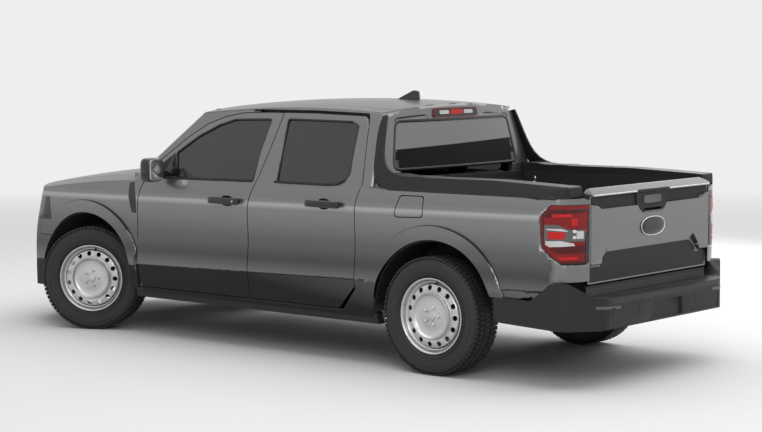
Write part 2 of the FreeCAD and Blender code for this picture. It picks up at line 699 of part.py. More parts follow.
def front_pieces(cabin):
    # Hood, fenders, bumper, grille and lamps, split out of one hollow front end.
    shell = front_body(0).cut(front_body(SKIN))
    shell = shell.cut(wheel_room(Y_FRONT_AXLE, ARCH_RADIUS, -1000, 1000))
    hood_room = hood_outline(0)
    hood = largest(shell.common(hood_room))
    shell = shell.cut(hood_outline(SEAM + 1)).cut(cabin)
    shell = shell.cut(box(-HOOD_HALF, HOOD_HALF, -2200, -900, 700, 1200))
    for pocket in door_pockets()[:2]:
        shell = shell.cut(pocket).cut(mirrored(pocket))
    lamp_hole = [(500, LAMP_LOW + 12, 14), (516, LAMP_HIGH - 6, 14), (1000, LAMP_HIGH + 18, 0),
                 (1000, LAMP_LOW - 20, 0)]
    lamp_room = prism_y(lamp_hole, Y_FRONT - 50, FENDER_FRONT + 130)
    lamps = shell.common(lamp_room)
    lamps = pair(lamps)
    shell = shell.cut(pair(lamp_room))
    grille_hole = [(-470, 700, 20), (470, 700, 20), (490, 902, 20), (-490, 902, 20)]
    grille = shell.common(prism_y(grille_hole, Y_FRONT - 60, Y_FRONT + 300))
    shell = shell.cut(prism_y(grille_hole, Y_FRONT - 60, Y_FRONT + 300))
    ahead = [(Y_FRONT - 60, 180, 0), (Y_FRONT_AXLE - 100, 180, 0), (Y_FRONT_AXLE - 100, FASCIA_TOP, 0),
             (FENDER_FRONT, FASCIA_TOP, 0), (FENDER_FRONT + 60, 1200, 0), (Y_FRONT - 60, 1200, 0)]
    behind = [(p[0] if p[0] < Y_FRONT + 100 else p[0] + SEAM, p[1] + (SEAM if p[1] == FASCIA_TOP else 0), 0)
              for p in ahead]
    fascia = shell.common(prism_x(ahead, -1000, 1000))
    low = box(0, 1000, Y_FRONT_AXLE, FRONT_DOOR_FRONT + 100, 0, DOOR_BOTTOM - SHUT_GAP)
    rear_part = shell.cut(prism_x(behind, -1000, 1000)).common(box(400, 1000, -2600, -900, 200, 1200))
    fender = at(rear_part.cut(low), 890, FRONT_DOOR_FRONT - 30, 900)
    ring = arch_ring(Y_FRONT_AXLE, Y_FRONT_AXLE - 560, FRONT_DOOR_FRONT - 8, ARCH_SHIFT)
    lip = ring.common(prism_x(ahead, 0, 1000))
    ring = ring.cut(prism_x(behind, -1000, 1000)).cut(door_pockets()[0]).cut(low)
    fender = largest(fender.cut(arch_groove(Y_FRONT_AXLE)).cut(hood_pin(SHUT_GAP)).fuse(ring))
    fascia = fascia.fuse(pair(lip.common(nose_volume())))
    return hood, fender, fascia, grille, lamps


def cab_lower(pockets):
    # Sills, posts and roof rails round the door openings, one piece with the screen surrounds.
    plate = box(POST_INNER, DOOR_INNER - SHUT_GAP, Y_FRONT_AXLE + 390, Y_BED_FRONT - 75, 275, BELT_HEIGHT)
    sill = side_volume(FRONT_DOOR_FRONT + 30, Y_REAR_AXLE - 478, 140)
    sill = sill.common(box(POST_INNER, 1000, -2000, 2000, SILL_HEIGHT + 40, DOOR_BOTTOM + 60))
    half = plate.fuse(sill)
    for pocket in pockets:
        half = half.cut(pocket)
    half = half.cut(apertures())
    half = half.cut(prism_y(windshield_outline(), -1600, -300))
    half = half.cut(cabin_volume(SIDE_THICK, ROOF_THICK, 40, 40))
    half = half.cut(sill_cladding()).cut(hood_outline(SHUT_GAP))
    half = half.cut(wheel_room(Y_FRONT_AXLE, ARCH_RADIUS, 0, 1000))
    return half.cut(wheel_room(Y_REAR_AXLE, ARCH_RADIUS, 0, 1000))


def cab_upper(shell, pockets):
    body = shell
    for pocket in pockets:
        body = body.cut(pocket).cut(mirrored(pocket))
    hole = apertures()
    return body.cut(hole).cut(mirrored(hole))


def roof_room(grow=0.0):
    # Room of the roof panel, from the windshield to the rear window.
    half = ROOF_HALF + grow
    return box(-half, half, -1000, 1200, 1500, 1700)


GATE_HALF = 666.0
GATE_GAP = 5.5
LAMP_INNER = 680.0
LINER_END = TAILGATE_THICK + 14.0
RAIL_LOW = 1107.0
BULKHEAD_HEIGHT = 1150.0
BODY_LOW_REAR = 634.0
RAIL_LOW_REAR = 490.0
FUEL_LID_THICK = 7.0
FUEL_POCKET = 60.0


def bed_skin(depth):
    return side_volume(REAR_DOOR_REAR - 180, Y_TAIL + 20, depth)


def bed_side(pillar, pockets):
    # Skin of the bed with its front corner under the rear door and the post beside the tailgate.
    outer = bed_skin(300)
    outline = [(REAR_DOOR_REAR - 160, DOOR_BOTTOM, 0), (Y_REAR_AXLE - 300, DOOR_BOTTOM, 0),
               (Y_REAR_AXLE, 520, 0), (Y_REAR_AXLE + 740, 520, 10), (Y_REAR_AXLE + 886, BODY_LOW_REAR - 4, 10),
               (Y_TAIL + 60, BODY_LOW_REAR, 0), (Y_TAIL + 60, BELT_HEIGHT, 0),
               (REAR_DOOR_REAR - 10, BELT_HEIGHT, 0), (REAR_DOOR_REAR - 10, 520, 0),
               (REAR_DOOR_REAR - 160, 520, 0)]
    outer = outer.common(prism_x(outline, BED_INSIDE_WIDTH / 2 + BED_WALL, 1000))
    post = box(GATE_HALF + GATE_GAP, BED_INSIDE_WIDTH / 2 + BED_WALL, Y_TAIL - LINER_END, Y_TAIL,
               BODY_LOW_REAR, RAIL_LOW)
    outer = outer.fuse(post).common(tail_volume())
    for pocket in pockets:
        outer = outer.cut(pocket)
    outer = outer.cut(wheel_room(Y_REAR_AXLE, ARCH_RADIUS, 0, 1000))
    low = box(0, DOOR_INNER - SHUT_GAP + 2, REAR_DOOR_REAR - 200, Y_BED_FRONT - 20, 200, 700)
    outer = outer.cut(low).cut(box(0, DOOR_INNER - SHUT_GAP, 0, Y_BED_FRONT - 75, 0, 2000))
    outer = outer.cut(arch_groove(Y_REAR_AXLE))
    ring = arch_ring(Y_REAR_AXLE, Y_REAR_AXLE - 560, Y_REAR_AXLE + 560, ARCH_SHIFT)
    for pocket in pockets:
        ring = ring.cut(pocket)
    core = lamp_core()
    body = outer.fuse(ring.common(box(0, 1000, -3000, Y_REAR_AXLE + 740, DOOR_BOTTOM, 2000)))
    body = body.fuse(pillar).cut(rear_bumper_side_room())
    return body.cut(lamp_room(3).cut(core)), outer.common(lamp_room()).cut(core)


def rear_bumper_side_room():
    return box(0, 1000, Y_REAR_AXLE + 200, 3000, 0, 519)


def lamp_room(grow=0.0):
    y = Y_REAR_AXLE
    low, high = 740.0 - grow, 1078.0 + grow
    side = prism_x([(y + 803 - grow, 828, 0), (y + 803 - grow, 1013, 0), (y + 864 - grow, high, 0),
                    (Y_TAIL + 60, high, 0), (Y_TAIL + 60, low, 0), (y + 918 - grow, low, 0)], 600, 1000)
    return side.common(box(LAMP_INNER - grow, 1000, 0, 3000, 0, 2000))


def lamp_core():
    core = side_volume(Y_REAR_AXLE + 500, Y_TAIL + 20, 600, 55)
    return core.common(tail_volume(55))


def rail_outline():
    # Side view of the rail cap with its sweep up the corner of the cab.
    y = Y_REAR_AXLE
    front = smooth([(y - 345, RAIL_LOW), (y - 439, 1141), (y - 497, 1209), (y - 521, 1305), (y - 543, 1430),
                    (y - 545, 1556)], 13)
    rear = smooth([(y - 512, 1560), (y - 498, 1499), (y - 479, 1404), (y - 451, 1309), (y - 412, 1250),
                   (y - 348, 1212), (y - 240, RAIL_HEIGHT), (y - 60, RAIL_HEIGHT - 1)], 15)
    return front + rear + [(y + 420, RAIL_HEIGHT + 4, 0), (Y_TAIL - 61, RAIL_HEIGHT - 13, 14),
                           (Y_TAIL - 49, BELT_HEIGHT - 1, 12)]


def rail_cap(proud=CAP_PROUD, clear=0.0):
    # A thin sheet on the cab's corner and a thick rail along the bed; clear makes it the room it takes.
    face = cabin_face(-proud, Y_BED_FRONT - 200, Y_TAIL + 40)
    outline = prism_x(rail_outline(), 500, 1000)
    sheet = face.extrude(V(-proud - CAP_THICK - clear, 0, 0)).common(outline)
    rail = face.extrude(V(-proud - 189, 0, 0)).common(outline)
    inner = BED_INSIDE_WIDTH / 2 + 4
    rail = rail.common(box(inner - clear, 1000, Y_BED_FRONT - 25 - clear, Y_TAIL, 1100, RAIL_HEIGHT + 8))
    if clear:
        return sheet.fuse(rail)
    return sheet.common(tail_volume()).fuse(rail.common(tail_volume()))


def bulkhead_cap():
    half = BED_INSIDE_WIDTH / 2 + 4
    return box(-half, half, Y_BED_FRONT - 40, Y_BED_FRONT, RAIL_LOW, BULKHEAD_HEIGHT)


def bed_liner():
    half = BED_INSIDE_WIDTH / 2
    y0, y1 = Y_BED_FRONT, Y_TAIL - LINER_END
    z = BED_FLOOR_HEIGHT
    arch_x = BED_BETWEEN_WHEELS / 2
    liner = box(-half, half, y0, y1, z - 18, z)
    for sign in (-1, 1):
        a, b = sorted((sign * half, sign * (half + BED_WALL)))
        liner = liner.fuse(box(a, b, y0 - BED_WALL, y1, z - 18, BULKHEAD_HEIGHT))
    liner = liner.fuse(box(-half - BED_WALL, half + BED_WALL, y0 - BED_WALL, y0, z - 18, BULKHEAD_HEIGHT))
    room = Y_REAR_AXLE + ARCH_SHIFT
    for sign in (-1, 1):
        a, b = sorted((sign * arch_x, sign * (half + BED_WALL)))
        liner = liner.fuse(disc_x(ARCH_RADIUS + 12, a, b, room, TYRE_RADIUS).common(
            box(-1000, 1000, 0, 3000, z - 60, 1200)))
        a, b = sorted((sign * (arch_x + 12), sign * 1000))
        liner = liner.cut(disc_x(ARCH_RADIUS, a, b, room, TYRE_RADIUS))
    for i in range(9):
        x = (i - 4) * 116.0
        liner = liner.fuse(box(x - 32, x + 32, y0, y1 - 6, z, z + 9))
    return liner


GATE_PIN = 9.0
GATE_AXIS_Z = 655.0
GATE_LIP = 8.0
GATE_HEIGHT = 1178.0
GATE_LOW = 636.0
GATE_FLANGE_LOW = 609.0
GATE_SETBACK = 22.0
HANDLE_DEEP = 30.0
BUMPER_HIGH = 632.0
BUMPER_RIDGE = 537.0
BUMPER_SHOULDER = 486.0
BUMPER_WALL = 40.0


def gate_pin(play=0.0):
    # Left trunnion of the tailgate, in the side of the bed.
    y = Y_TAIL - TAILGATE_THICK / 2
    return disc_x(GATE_PIN + play, 650, BED_INSIDE_WIDTH / 2 + BED_WALL + 14, y, GATE_AXIS_Z)


def tailgate():
    # One slab under a sloping lip, with a dark band and a set-back lower panel that ends in a flange.
    y1 = Y_TAIL
    y0 = Y_TAIL - TAILGATE_THICK
    half = GATE_HALF
    side = [(y0, GATE_LOW, 4), (y0, GATE_HEIGHT, 12), (y1 + GATE_LIP, 1132, 3), (y1 + GATE_LIP - 1, 1122, 0),
            (y1, 1116, 0), (y1, GATE_FLANGE_LOW, 0), (y1 - 28, GATE_FLANGE_LOW, 0), (y1 - 28, GATE_LOW, 0)]
    slab = prism_x(side, -half, half)
    slab = slab.common(prism_y([(-half, 600, 0), (-half, 1142, 20), (-half + 64, GATE_HEIGHT + 2, 20),
                                (half - 64, GATE_HEIGHT + 2, 20), (half, 1142, 20), (half, 600, 0)],
                               y0 - 20, y1 + 40))
    band = [(-half - 1, 1074), (-612, 1072), (-554, 1043), (554, 1043), (612, 1072), (half + 1, 1074),
            (half + 1, 1124), (-half - 1, 1124)]
    slab = slab.cut(prism_y([(a, b, 0) for a, b in band], y1 - 14, y1 + 4))
    rim = [(-half - 1, 727), (-555, 727), (-545, 765), (-482, 835), (482, 835), (545, 765), (555, 727),
           (half + 1, 727), (half + 1, 590), (-half - 1, 590)]
    floor = [(-half - 1, 716), (-545, 716), (-533, 752), (-470, 797), (470, 797), (533, 752), (545, 716),
             (half + 1, 716), (half + 1, 590), (-half - 1, 590)]
    slab = slab.cut(sunk(rim, y1 + 1, floor, y1 - GATE_SETBACK))
    slab = slab.fuse(gate_pin()).fuse(mirrored(gate_pin()))
    return slab.cut(prism_y(handle_outline(), y1 - HANDLE_DEEP, y1 + 20))


def handle_outline(shrink=0.0):
    # The housing is wide in the band and narrows below it.
    wide, narrow = 182 - shrink, 114 - shrink
    top, low = 1136.0, 1000 + shrink
    return [(-wide, top, 0), (wide, top, 0), (wide - 12, 1044, 12), (narrow, low, 8), (-narrow, low, 8),
            (-wide + 12, 1044, 12)]


def tailgate_handle():
    # Housing with a sloping top that carries on the lip, and the slot for the fingers.
    y1 = Y_TAIL
    side = [(y1 - HANDLE_DEEP, 990, 0), (y1 - HANDLE_DEEP, 1136, 0), (y1 + GATE_LIP - 2, 1134, 3),
            (y1 + GATE_LIP - 2, 1120, 3), (y1 - 4, 1112, 6), (y1 - 2, 1040, 0), (y1 + 4, 1024, 3), (y1 + 2, 990, 0)]
    plate = prism_x(side, -300, 300).common(prism_y(handle_outline(), y1 - 60, y1 + 60))
    slot = [(-96, 1004, 6), (96, 1004, 6), (104, 1020, 6), (-104, 1020, 6)]
    return plate.cut(prism_y(slot, y1 - 22, y1 + 10))


def bumper_plan(y_side, wall):
    # Plan of the rear bumper, blunt behind with strongly cut corners.
    half = HALF_SHOULDER + 2 - wall
    return [(-half, y_side, 0), (half, y_side, 0), (half, Y_REAR - 174 - 0.4 * wall, 100 - wall),
            (630 - 0.6 * wall, Y_REAR - 14 - wall, 150 - wall), (300, Y_REAR - wall, 300),
            (-300, Y_REAR - wall, 300), (-630 + 0.6 * wall, Y_REAR - 14 - wall, 150 - wall),
            (-half, Y_REAR - 174 - 0.4 * wall, 100 - wall)]


def bumper_top(wall):
    # Seen from behind: high under the lamps, with a smooth sweep down to the ridge and step pad.
    high, ridge = BUMPER_HIGH - wall, BUMPER_RIDGE - wall
    return [(-1000, 300, 0), (-1000, high, 0), (-866, high, 80), (-712, ridge, 90), (712, ridge, 90),
            (866, high, 80), (1000, high, 0), (1000, 300, 0)]


def rear_bumper():
    y = Y_REAR_AXLE
    side = [(y + 478, 372, 30), (y + 478, 519, 0), (y + 740, 516, 10), (y + 884, 626, 10), (Y_REAR - 120, 640, 0),
            (Y_REAR, 640, 0), (Y_REAR, BUMPER_SHOULDER, 0), (Y_REAR - 12, BUMPER_SHOULDER - 8, 0),
            (Y_REAR - 22, 346, 24)]
    body = prism_x(side, -1000, 1000).common(prism_z(bumper_plan(y + 400, 0), 300, 800))
    body = body.common(prism_y(bumper_top(0), y, Y_REAR + 20))
    under = prism_z(bumper_plan(y + 300, BUMPER_WALL), 0, 800)
    body = body.cut(under.common(prism_y(bumper_top(BUMPER_WALL) + [(1000, 0, 0), (-1000, 0, 0)], y, Y_REAR)))
    inner = GATE_HALF + GATE_GAP + 1
    body = body.cut(box(-inner, inner, y, Y_TAIL - 44, 300, 900))
    body = body.fuse(box(-inner, inner, Y_TAIL - 44, Y_TAIL - 30, BUMPER_RIDGE - BUMPER_WALL, 597))
    body = body.cut(wheel_room(y, ARCH_RADIUS, -1000, 1000))
    recess = prism_y([(-186, 366, 0), (186, 366, 0), (168, 472, 12), (-168, 472, 12)], Y_REAR - 34, Y_REAR + 10)
    body = body.cut(recess)
    for x in (-600, -328, 328, 600):
        body = body.cut(box(x - 2.5, x + 2.5, Y_REAR - 60, Y_REAR - 9, 300, BUMPER_SHOULDER - 12).common(
            prism_z(bumper_plan(y, -10), 0, 800)).cut(prism_z(bumper_plan(y, 16), 0, 800)))
    return body


def frame_rails():
    y0, y1 = Y_FRONT + 56, Y_TAIL - 44
    low, high = RAIL_LOW_REAR, RAIL_LOW_REAR + 100
    line = [(y0, 470), (Y_FRONT_AXLE + 380, 470), (Y_FRONT_AXLE + 560, 262), (Y_REAR_AXLE - 640, 262),
            (Y_REAR_AXLE - 420, low), (y1, low), (y1, high), (Y_REAR_AXLE - 470, high),
            (Y_REAR_AXLE - 700, FLOOR_LOW), (Y_FRONT_AXLE + 610, FLOOR_LOW), (Y_FRONT_AXLE + 420, 570), (y0, 570)]
    return prism_x([(a, b, 20) for a, b in line], RAIL_IN, RAIL_OUT)


def rear_wall():
    # Wall between the cabin and the bed, below the rear window.
    half = BED_INSIDE_WIDTH / 2 + BED_WALL
    wall = box(-half, half, Y_BED_FRONT - 75, Y_BED_FRONT - BED_WALL, FLOOR_LOW + 8, CABIN_BASE)
    return wall.cut(rear_axle()).cut(pair(frame_rails()))


def floor_pan():
    pan = box(-POST_INNER, POST_INNER, Y_FRONT_AXLE + 390, Y_BED_FRONT - 75, FLOOR_LOW, FLOOR_HIGH)
    hump = prism_y([(-130, FLOOR_HIGH - 2, 0), (130, FLOOR_HIGH - 2, 0), (95, FLOOR_HIGH + 70, 30),
                    (-95, FLOOR_HIGH + 70, 30)], Y_FRONT_AXLE + 390, Y_BED_FRONT - 200)
    pan = pan.fuse(hump).cut(pair(frame_rails()))
    return pan.cut(pair(wheel_room(Y_FRONT_AXLE, ARCH_RADIUS, 470, 1000)))


def firewall(cabin):
    y = Y_FRONT_AXLE + 370
    half = DOOR_INNER - SHUT_GAP
    wall = box(-half, half, y, y + 20, FLOOR_LOW, CABIN_BASE).cut(pair(frame_rails()))
    wall = wall.cut(pair(box(HOOD_HALF + 13, 1000, y - 1, y + 21, CABIN_BASE - 14, CABIN_BASE + 1)))
    return wall.cut(cabin).cut(pair(wheel_room(Y_FRONT_AXLE, ARCH_RADIUS, 470, 1000)))


def cowl(cabin):
    # The trim between the hood and the windshield.
    y = Y_FRONT_AXLE + 370
    top = box(-POST_INNER, POST_INNER, y - 30, y + 200, BELT_HEIGHT - 46, 1200).common(hood_volume(6))
    top = largest(top.cut(cabin).cut(hood_outline(HOOD_BACK_GAP)))
    return top.cut(pair(hood_ear(SHUT_GAP + 2)))


def inner_fenders():
    plate = box(HOOD_HALF + 1, HOOD_HALF + 13, Y_FRONT_AXLE - 470, Y_FRONT_AXLE + 370, 570, 1100)
    plate = plate.common(hood_volume(SKIN * 0.8 + 0.4)).cut(wheel_room(Y_FRONT_AXLE, ARCH_RADIUS, 0, 1000))
    shelf = box(RAIL_OUT - 40, HOOD_HALF + 1, Y_FRONT_AXLE - 470, Y_FRONT_AXLE - 458, 570, 700)
    return pair(plate.fuse(shelf))


def dashboard():
    y = Y_FRONT_AXLE + 390
    side = [(y, 640, 0), (y + 130, 620, 30), (y + 330, 700, 60), (y + 350, 900, 60), (y + 300, 1020, 60),
            (y + 60, 1050, 20), (y, 1040, 0)]
    desk = prism_x(side, -POST_INNER + 4, POST_INNER - 4)
    low = FLOOR_HIGH + 70
    console = prism_x([(y + 100, low, 0), (y + 1050, low, 0), (y + 1050, 640, 40), (y + 480, 640, 60),
                       (y + 300, 740, 20), (y + 100, 740, 0)], -110, 110)
    return desk.fuse(console)


def seat(x, y):
    base = box(x - 200, x + 200, y - 250, y + 230, FLOOR_HIGH, 560)
    cushion = [(y - 290, 560, 50), (y - 280, 690, 50), (y + 240, 640, 30), (y + 240, 530, 20), (y - 200, 540, 20)]
    back = [(y + 130, 600, 40), (y + 290, 600, 40), (y + 420, 1200, 50), (y + 330, 1230, 50), (y + 170, 760, 80)]
    post = [(y + 350, 1190, 0), (y + 390, 1190, 0), (y + 412, 1290, 0), (y + 380, 1290, 0)]
    rest = [(y + 335, 1230, 30), (y + 430, 1230, 30), (y + 455, 1400, 35), (y + 365, 1400, 35)]
    body = base
    for outline, half in ((cushion, 255), (back, 250), (post, 60), (rest, 130)):
        body = body.fuse(prism_x(outline, x - half, x + half))
    return body


def rear_bench():
    y = Y_BED_FRONT - 75
    base = box(-600, 600, y - 560, y - 60, FLOOR_HIGH, 520)
    cushion = [(y - 610, 530, 50), (y - 600, 680, 50), (y - 160, 650, 30), (y - 60, 520, 0), (y - 560, 518, 0)]
    back = [(y - 230, 620, 40), (y - 60, 600, 0), (y - 0.2, 1150, 20), (y - 100, 1190, 40)]
    body = base.fuse(prism_x(cushion, -640, 640)).fuse(prism_x(back, -640, 640))
    return body.cut(floor_pan()).cut(pair(frame_rails()))


STEER_HUB = V(370, Y_FRONT_AXLE + 850, 985)
STEER_TILT = 24.0


def steering_axis():
    a = math.radians(STEER_TILT)
    return V(0, math.cos(a), math.sin(a))


def steering_wheel():
    axis = steering_axis()
    across = V(1, 0, 0)
    section = [(178 + 15 * math.cos(a), 15 * math.sin(a)) for a in steps(0, 2 * math.pi * 11 / 12, 12)]
    ring = revolved(section, STEER_HUB, axis, across)
    hub = Part.makeCylinder(52, 44, STEER_HUB - axis * 40, axis)
    shaft = Part.makeCylinder(14, 80, STEER_HUB - axis * 118, axis)
    wheel = hub.fuse(shaft)
    for angle in (0, 180, 270):
        a = math.radians(angle)
        up = axis.cross(across)
        way = across * math.cos(a) + up * math.sin(a)
        wheel = wheel.fuse(Part.makeCylinder(13, 160, STEER_HUB - axis * 12 + way * 20, way))
    return wheel.fuse(ring)


def steering_column():
    axis = steering_axis()
    tube = Part.makeCylinder(34, 260, STEER_HUB - axis * 320, axis)
    return tube.cut(Part.makeCylinder(14 + SHAFT_PLAY, 80, STEER_HUB - axis * 119, axis))


def engine():
    return box(-330, 330, Y_FRONT_AXLE - 300, Y_FRONT_AXLE + 260, 330, 900)


def subframe():
    y = Y_FRONT_AXLE
    plate = box(-SUBFRAME_HALF, SUBFRAME_HALF, y - 320, y + 300, 262, 330)
    posts = box(RAIL_IN + 10, SUBFRAME_HALF, y - 280, y - 200, 330, 470)
    posts = posts.fuse(box(RAIL_IN + 10, SUBFRAME_HALF, y + 200, y + 280, 330, 470))
    return plate.fuse(pair(posts))


def rear_axle():
    y, z = Y_REAR_AXLE, TYRE_RADIUS
    beam = disc_x(45, -TRACK_HALF + 75, TRACK_HALF - 75, y, z)
    for out in (1, -1):
        x = out * TRACK_HALF
        beam = beam.fuse(disc_x(52, *sorted((x - out * 76, x - out * 5)), y, z))
        beam = beam.fuse(disc_x(HUB_BORE_RADIUS - SHAFT_PLAY, *sorted((x - out * 10, x + out * 58)), y, z))
        arm = prism_x([(y - 520, 290, 20), (y - 30, z - 30, 20), (y - 30, z + 30, 20), (y - 520, 340, 20)],
                      *sorted((out * 520, out * 580)))
        beam = beam.fuse(arm)
        foot = box(*sorted((out * RAIL_OUT, out * 525)), y - 498, y - 430, 300, 480)
        post = Part.makeCylinder(38, RAIL_LOW_REAR - z, V(out * 440, y, z))
        beam = beam.fuse(foot).fuse(post)
    return beam


def fuel_tank():
    y = Y_REAR_AXLE - 900
    side = [(y, TANK_LOW, 40), (y + 520, TANK_LOW, 40), (y + 520, FLOOR_LOW, 0), (y, FLOOR_LOW, 0)]
    return prism_x(side, -380, 180)


def exhaust():
    y0, y1 = Y_FRONT_AXLE + 300, Y_REAR_AXLE - 200
    pipe = Part.makeCylinder(30, y1 - y0, V(270, y0, 300), V(0, 1, 0))
    silencer = prism_y([(200, 240, 50), (385, 240, 50), (385, FLOOR_LOW, 20), (200, FLOOR_LOW, 20)],
                       Y_REAR_AXLE - 1500, Y_REAR_AXLE - 980)
    return pipe.fuse(silencer)


def spare_wheel():
    c = V(0, Y_REAR_AXLE + 620, 430)
    section = [(200, -80), (230, -92), (300, -92), (332, -60), (332, 60), (300, 92), (230, 92), (200, 80)]
    tyre = revolved(section, c, V(0, 0, 1), V(1, 0, 0))
    disc = Part.makeCylinder(200, 30, c - V(0, 0, 15))
    post = Part.makeCylinder(30, BED_FLOOR_HEIGHT - 18 - c.z, c)
    return tyre.fuse(disc).fuse(post)


def cross_members():
    # Ties between the rails and the bed floor, and the hangers of the rear bumper.
    y = Y_REAR_AXLE
    ties = frame_rails()
    ties = ties.fuse(mirrored(ties))
    top = RAIL_LOW_REAR + 100
    for place in (y - 380, y + 250, y + 845):
        ties = ties.fuse(box(-RAIL_OUT, RAIL_OUT, place, place + 60, top, BED_FLOOR_HEIGHT - 18))
    beam_top = BUMPER_RIDGE - BUMPER_WALL
    inside = Y_REAR - BUMPER_WALL
    hanger = box(RAIL_IN, RAIL_OUT, Y_TAIL - 120, inside - 23, beam_top - 70, RAIL_LOW_REAR)
    pad = box(190, 290, inside - 23, inside, beam_top - 70, beam_top)
    ties = ties.fuse(pair(hanger)).fuse(pair(pad))
    return ties.fuse(box(-RAIL_OUT, RAIL_OUT, inside - 43, inside - 23, beam_top - 70, beam_top))


def third_lamp(cabin):
    strip = prism_y([(-236, 1534, 14), (236, 1534, 14), (228, 1592, 14), (-228, 1592, 14)], 800, 1000)
    slab = cabin_volume(-6, -6, 0, -10).cut(cabin)
    return slab.common(strip)


def fin():
    y = Y_REAR_AXLE - 900
    side = [(y - 100, 1620, 0), (y + 110, 1620, 0), (y + 95, 1695, 14), (y + 55, 1696, 20), (y - 20, 1660, 60)]
    body = prism_x(side, -26, 26)
    taper = prism_y([(-26, 1610, 0), (26, 1610, 0), (6, 1700, 5), (-6, 1700, 5)], y - 200, y + 200)
    return body.common(taper)


def vent_trim():
    y = FRONT_DOOR_FRONT
    outline = [(y - 60, 1056, 6), (y - 20, 1060, 6), (y + 4, 960, 0), (y - 2, 850, 6), (y - 40, 850, 6),
               (y - 62, 960, 0)]
    face = side_face(y - 150, y + 60, -3)
    return face.extrude(V(-3, 0, 0)).common(prism_x(outline, 700, 1000))


def sill_cladding():
    face = side_volume(FRONT_DOOR_FRONT - 40, Y_REAR_AXLE - 430, 60, 4)
    strip = face.common(box(700, 1000, -3000, 3000, SILL_HEIGHT, DOOR_BOTTOM - SHUT_GAP))
    strip = strip.cut(wheel_room(Y_FRONT_AXLE, ARCH_RADIUS, 0, 1000))
    return strip.cut(wheel_room(Y_REAR_AXLE, ARCH_RADIUS, 0, 1000))


def liners():
    room = []
    for y, x0, wall in ((Y_FRONT_AXLE, 490, True), (Y_REAR_AXLE, BED_BETWEEN_WHEELS / 2 + 12, False)):
        shell = wheel_room(y, ARCH_RADIUS, x0, 880).cut(wheel_room(y, ARCH_RADIUS - LINER_THICK, x0, 1000))
        if wall:
            shell = shell.fuse(wheel_room(y, ARCH_RADIUS, x0 - 10, x0))
        shell = shell.common(box(0, 1000, -3000, 3000, 405, 1200))
        room.append(shell)
    front = room[0].cut(box(0, 1000, Y_FRONT_AXLE - 90, Y_FRONT_AXLE + 90, 0, 640))
    return pair(front.fuse(room[1]))


def fuel_lid(grow=0.0):
    y = Y_REAR_AXLE
    return prism_x([(y - 283 - grow, 952 - grow, 24), (y - 62 + grow, 962 - grow, 24),
                    (y - 62 + grow, 1082 + grow, 24), (y - 240 - grow, 1080 + grow, 24)], 700, 1000)


def fuel_pin(play=0.0):
    # Hinge pin at the lid's lower front corner, in the side of the bed and along the lid's raked edge.
    return Part.makeCylinder(FUEL_PIN + play, 44, FUEL_HINGE - FUEL_RAKE * 25, FUEL_RAKE)


def fuel_door():
    lid = largest(bed_skin(FUEL_LID_THICK).common(fuel_lid()))
    x, y, z = FUEL_HINGE
    leaf = box(x - 5, x + 4, y - 5, y + 12, z, z + 24)
    return lid.fuse(leaf).fuse(fuel_pin())


def door_trim(kind):
    # Strap handle with its end stands, and the moulding along the belt.
    if kind == "front":
        y0, y1, z0, z1 = FRONT_DOOR_REAR - 314, FRONT_DOOR_REAR - 47, 1012, 943
    else:
        y0, y1, z0, z1 = REAR_DOOR_REAR - 373, REAR_DOOR_REAR - 98, 1040, 962
    bar = side_face(y0 - 40, y1 + 60, -34).extrude(V(-16, 0, 0))
    mid = (z0 + z1) / 2
    outline = [(y0, mid - 20, 10), (y1, mid - 20, 10), (y1, mid + 20, 10), (y0, mid + 20, 10)]
    bar = bar.common(prism_x(outline, 700, 1100))
    stands = side_face(y0 - 40, y1 + 60, -30).extrude(V(-30, 0, 0))
    ends = box(700, 1100, y0 + 6, y0 + 36, mid - 10, mid + 10)
    ends = ends.fuse(box(700, 1100, y1 - 40, y1 - 8, mid - 10, mid + 10))
    return bar.fuse(stands.common(ends))


def mirror():
    y = FRONT_DOOR_FRONT + 290
    shell = prism_x([(y - 70, 1096, 30), (y + 12, 1106, 12), (y + 16, 1224, 16), (y - 50, 1232, 40)], 935, 1058)
    cap = shell.makeFillet(14, [e for e in shell.Edges if e.BoundBox.XMin > 1050])
    foot = prism_x([(y - 60, 1118, 0), (y - 10, 1118, 0), (y - 10, 1146, 0), (y - 60, 1146, 0)], 846, 940)
    sail = cabin_face(-1).extrude(V(-6, 0, 0))
    sail = sail.common(prism_x([(y - 170, 1128, 0), (y + 80, 1128, 0), (y + 12, 1268, 0)], 700, 1000))
    return cap.fuse(foot), sail


def plate_holes():
    spots = (-PLATE_PITCH / 2, PLATE_PITCH / 2)
    return [Part.makeCylinder(PLATE_HOLE, 60, V(x, Y_REAR - 60, PLATE_HEIGHT), V(0, 1, 0)) for x in spots]


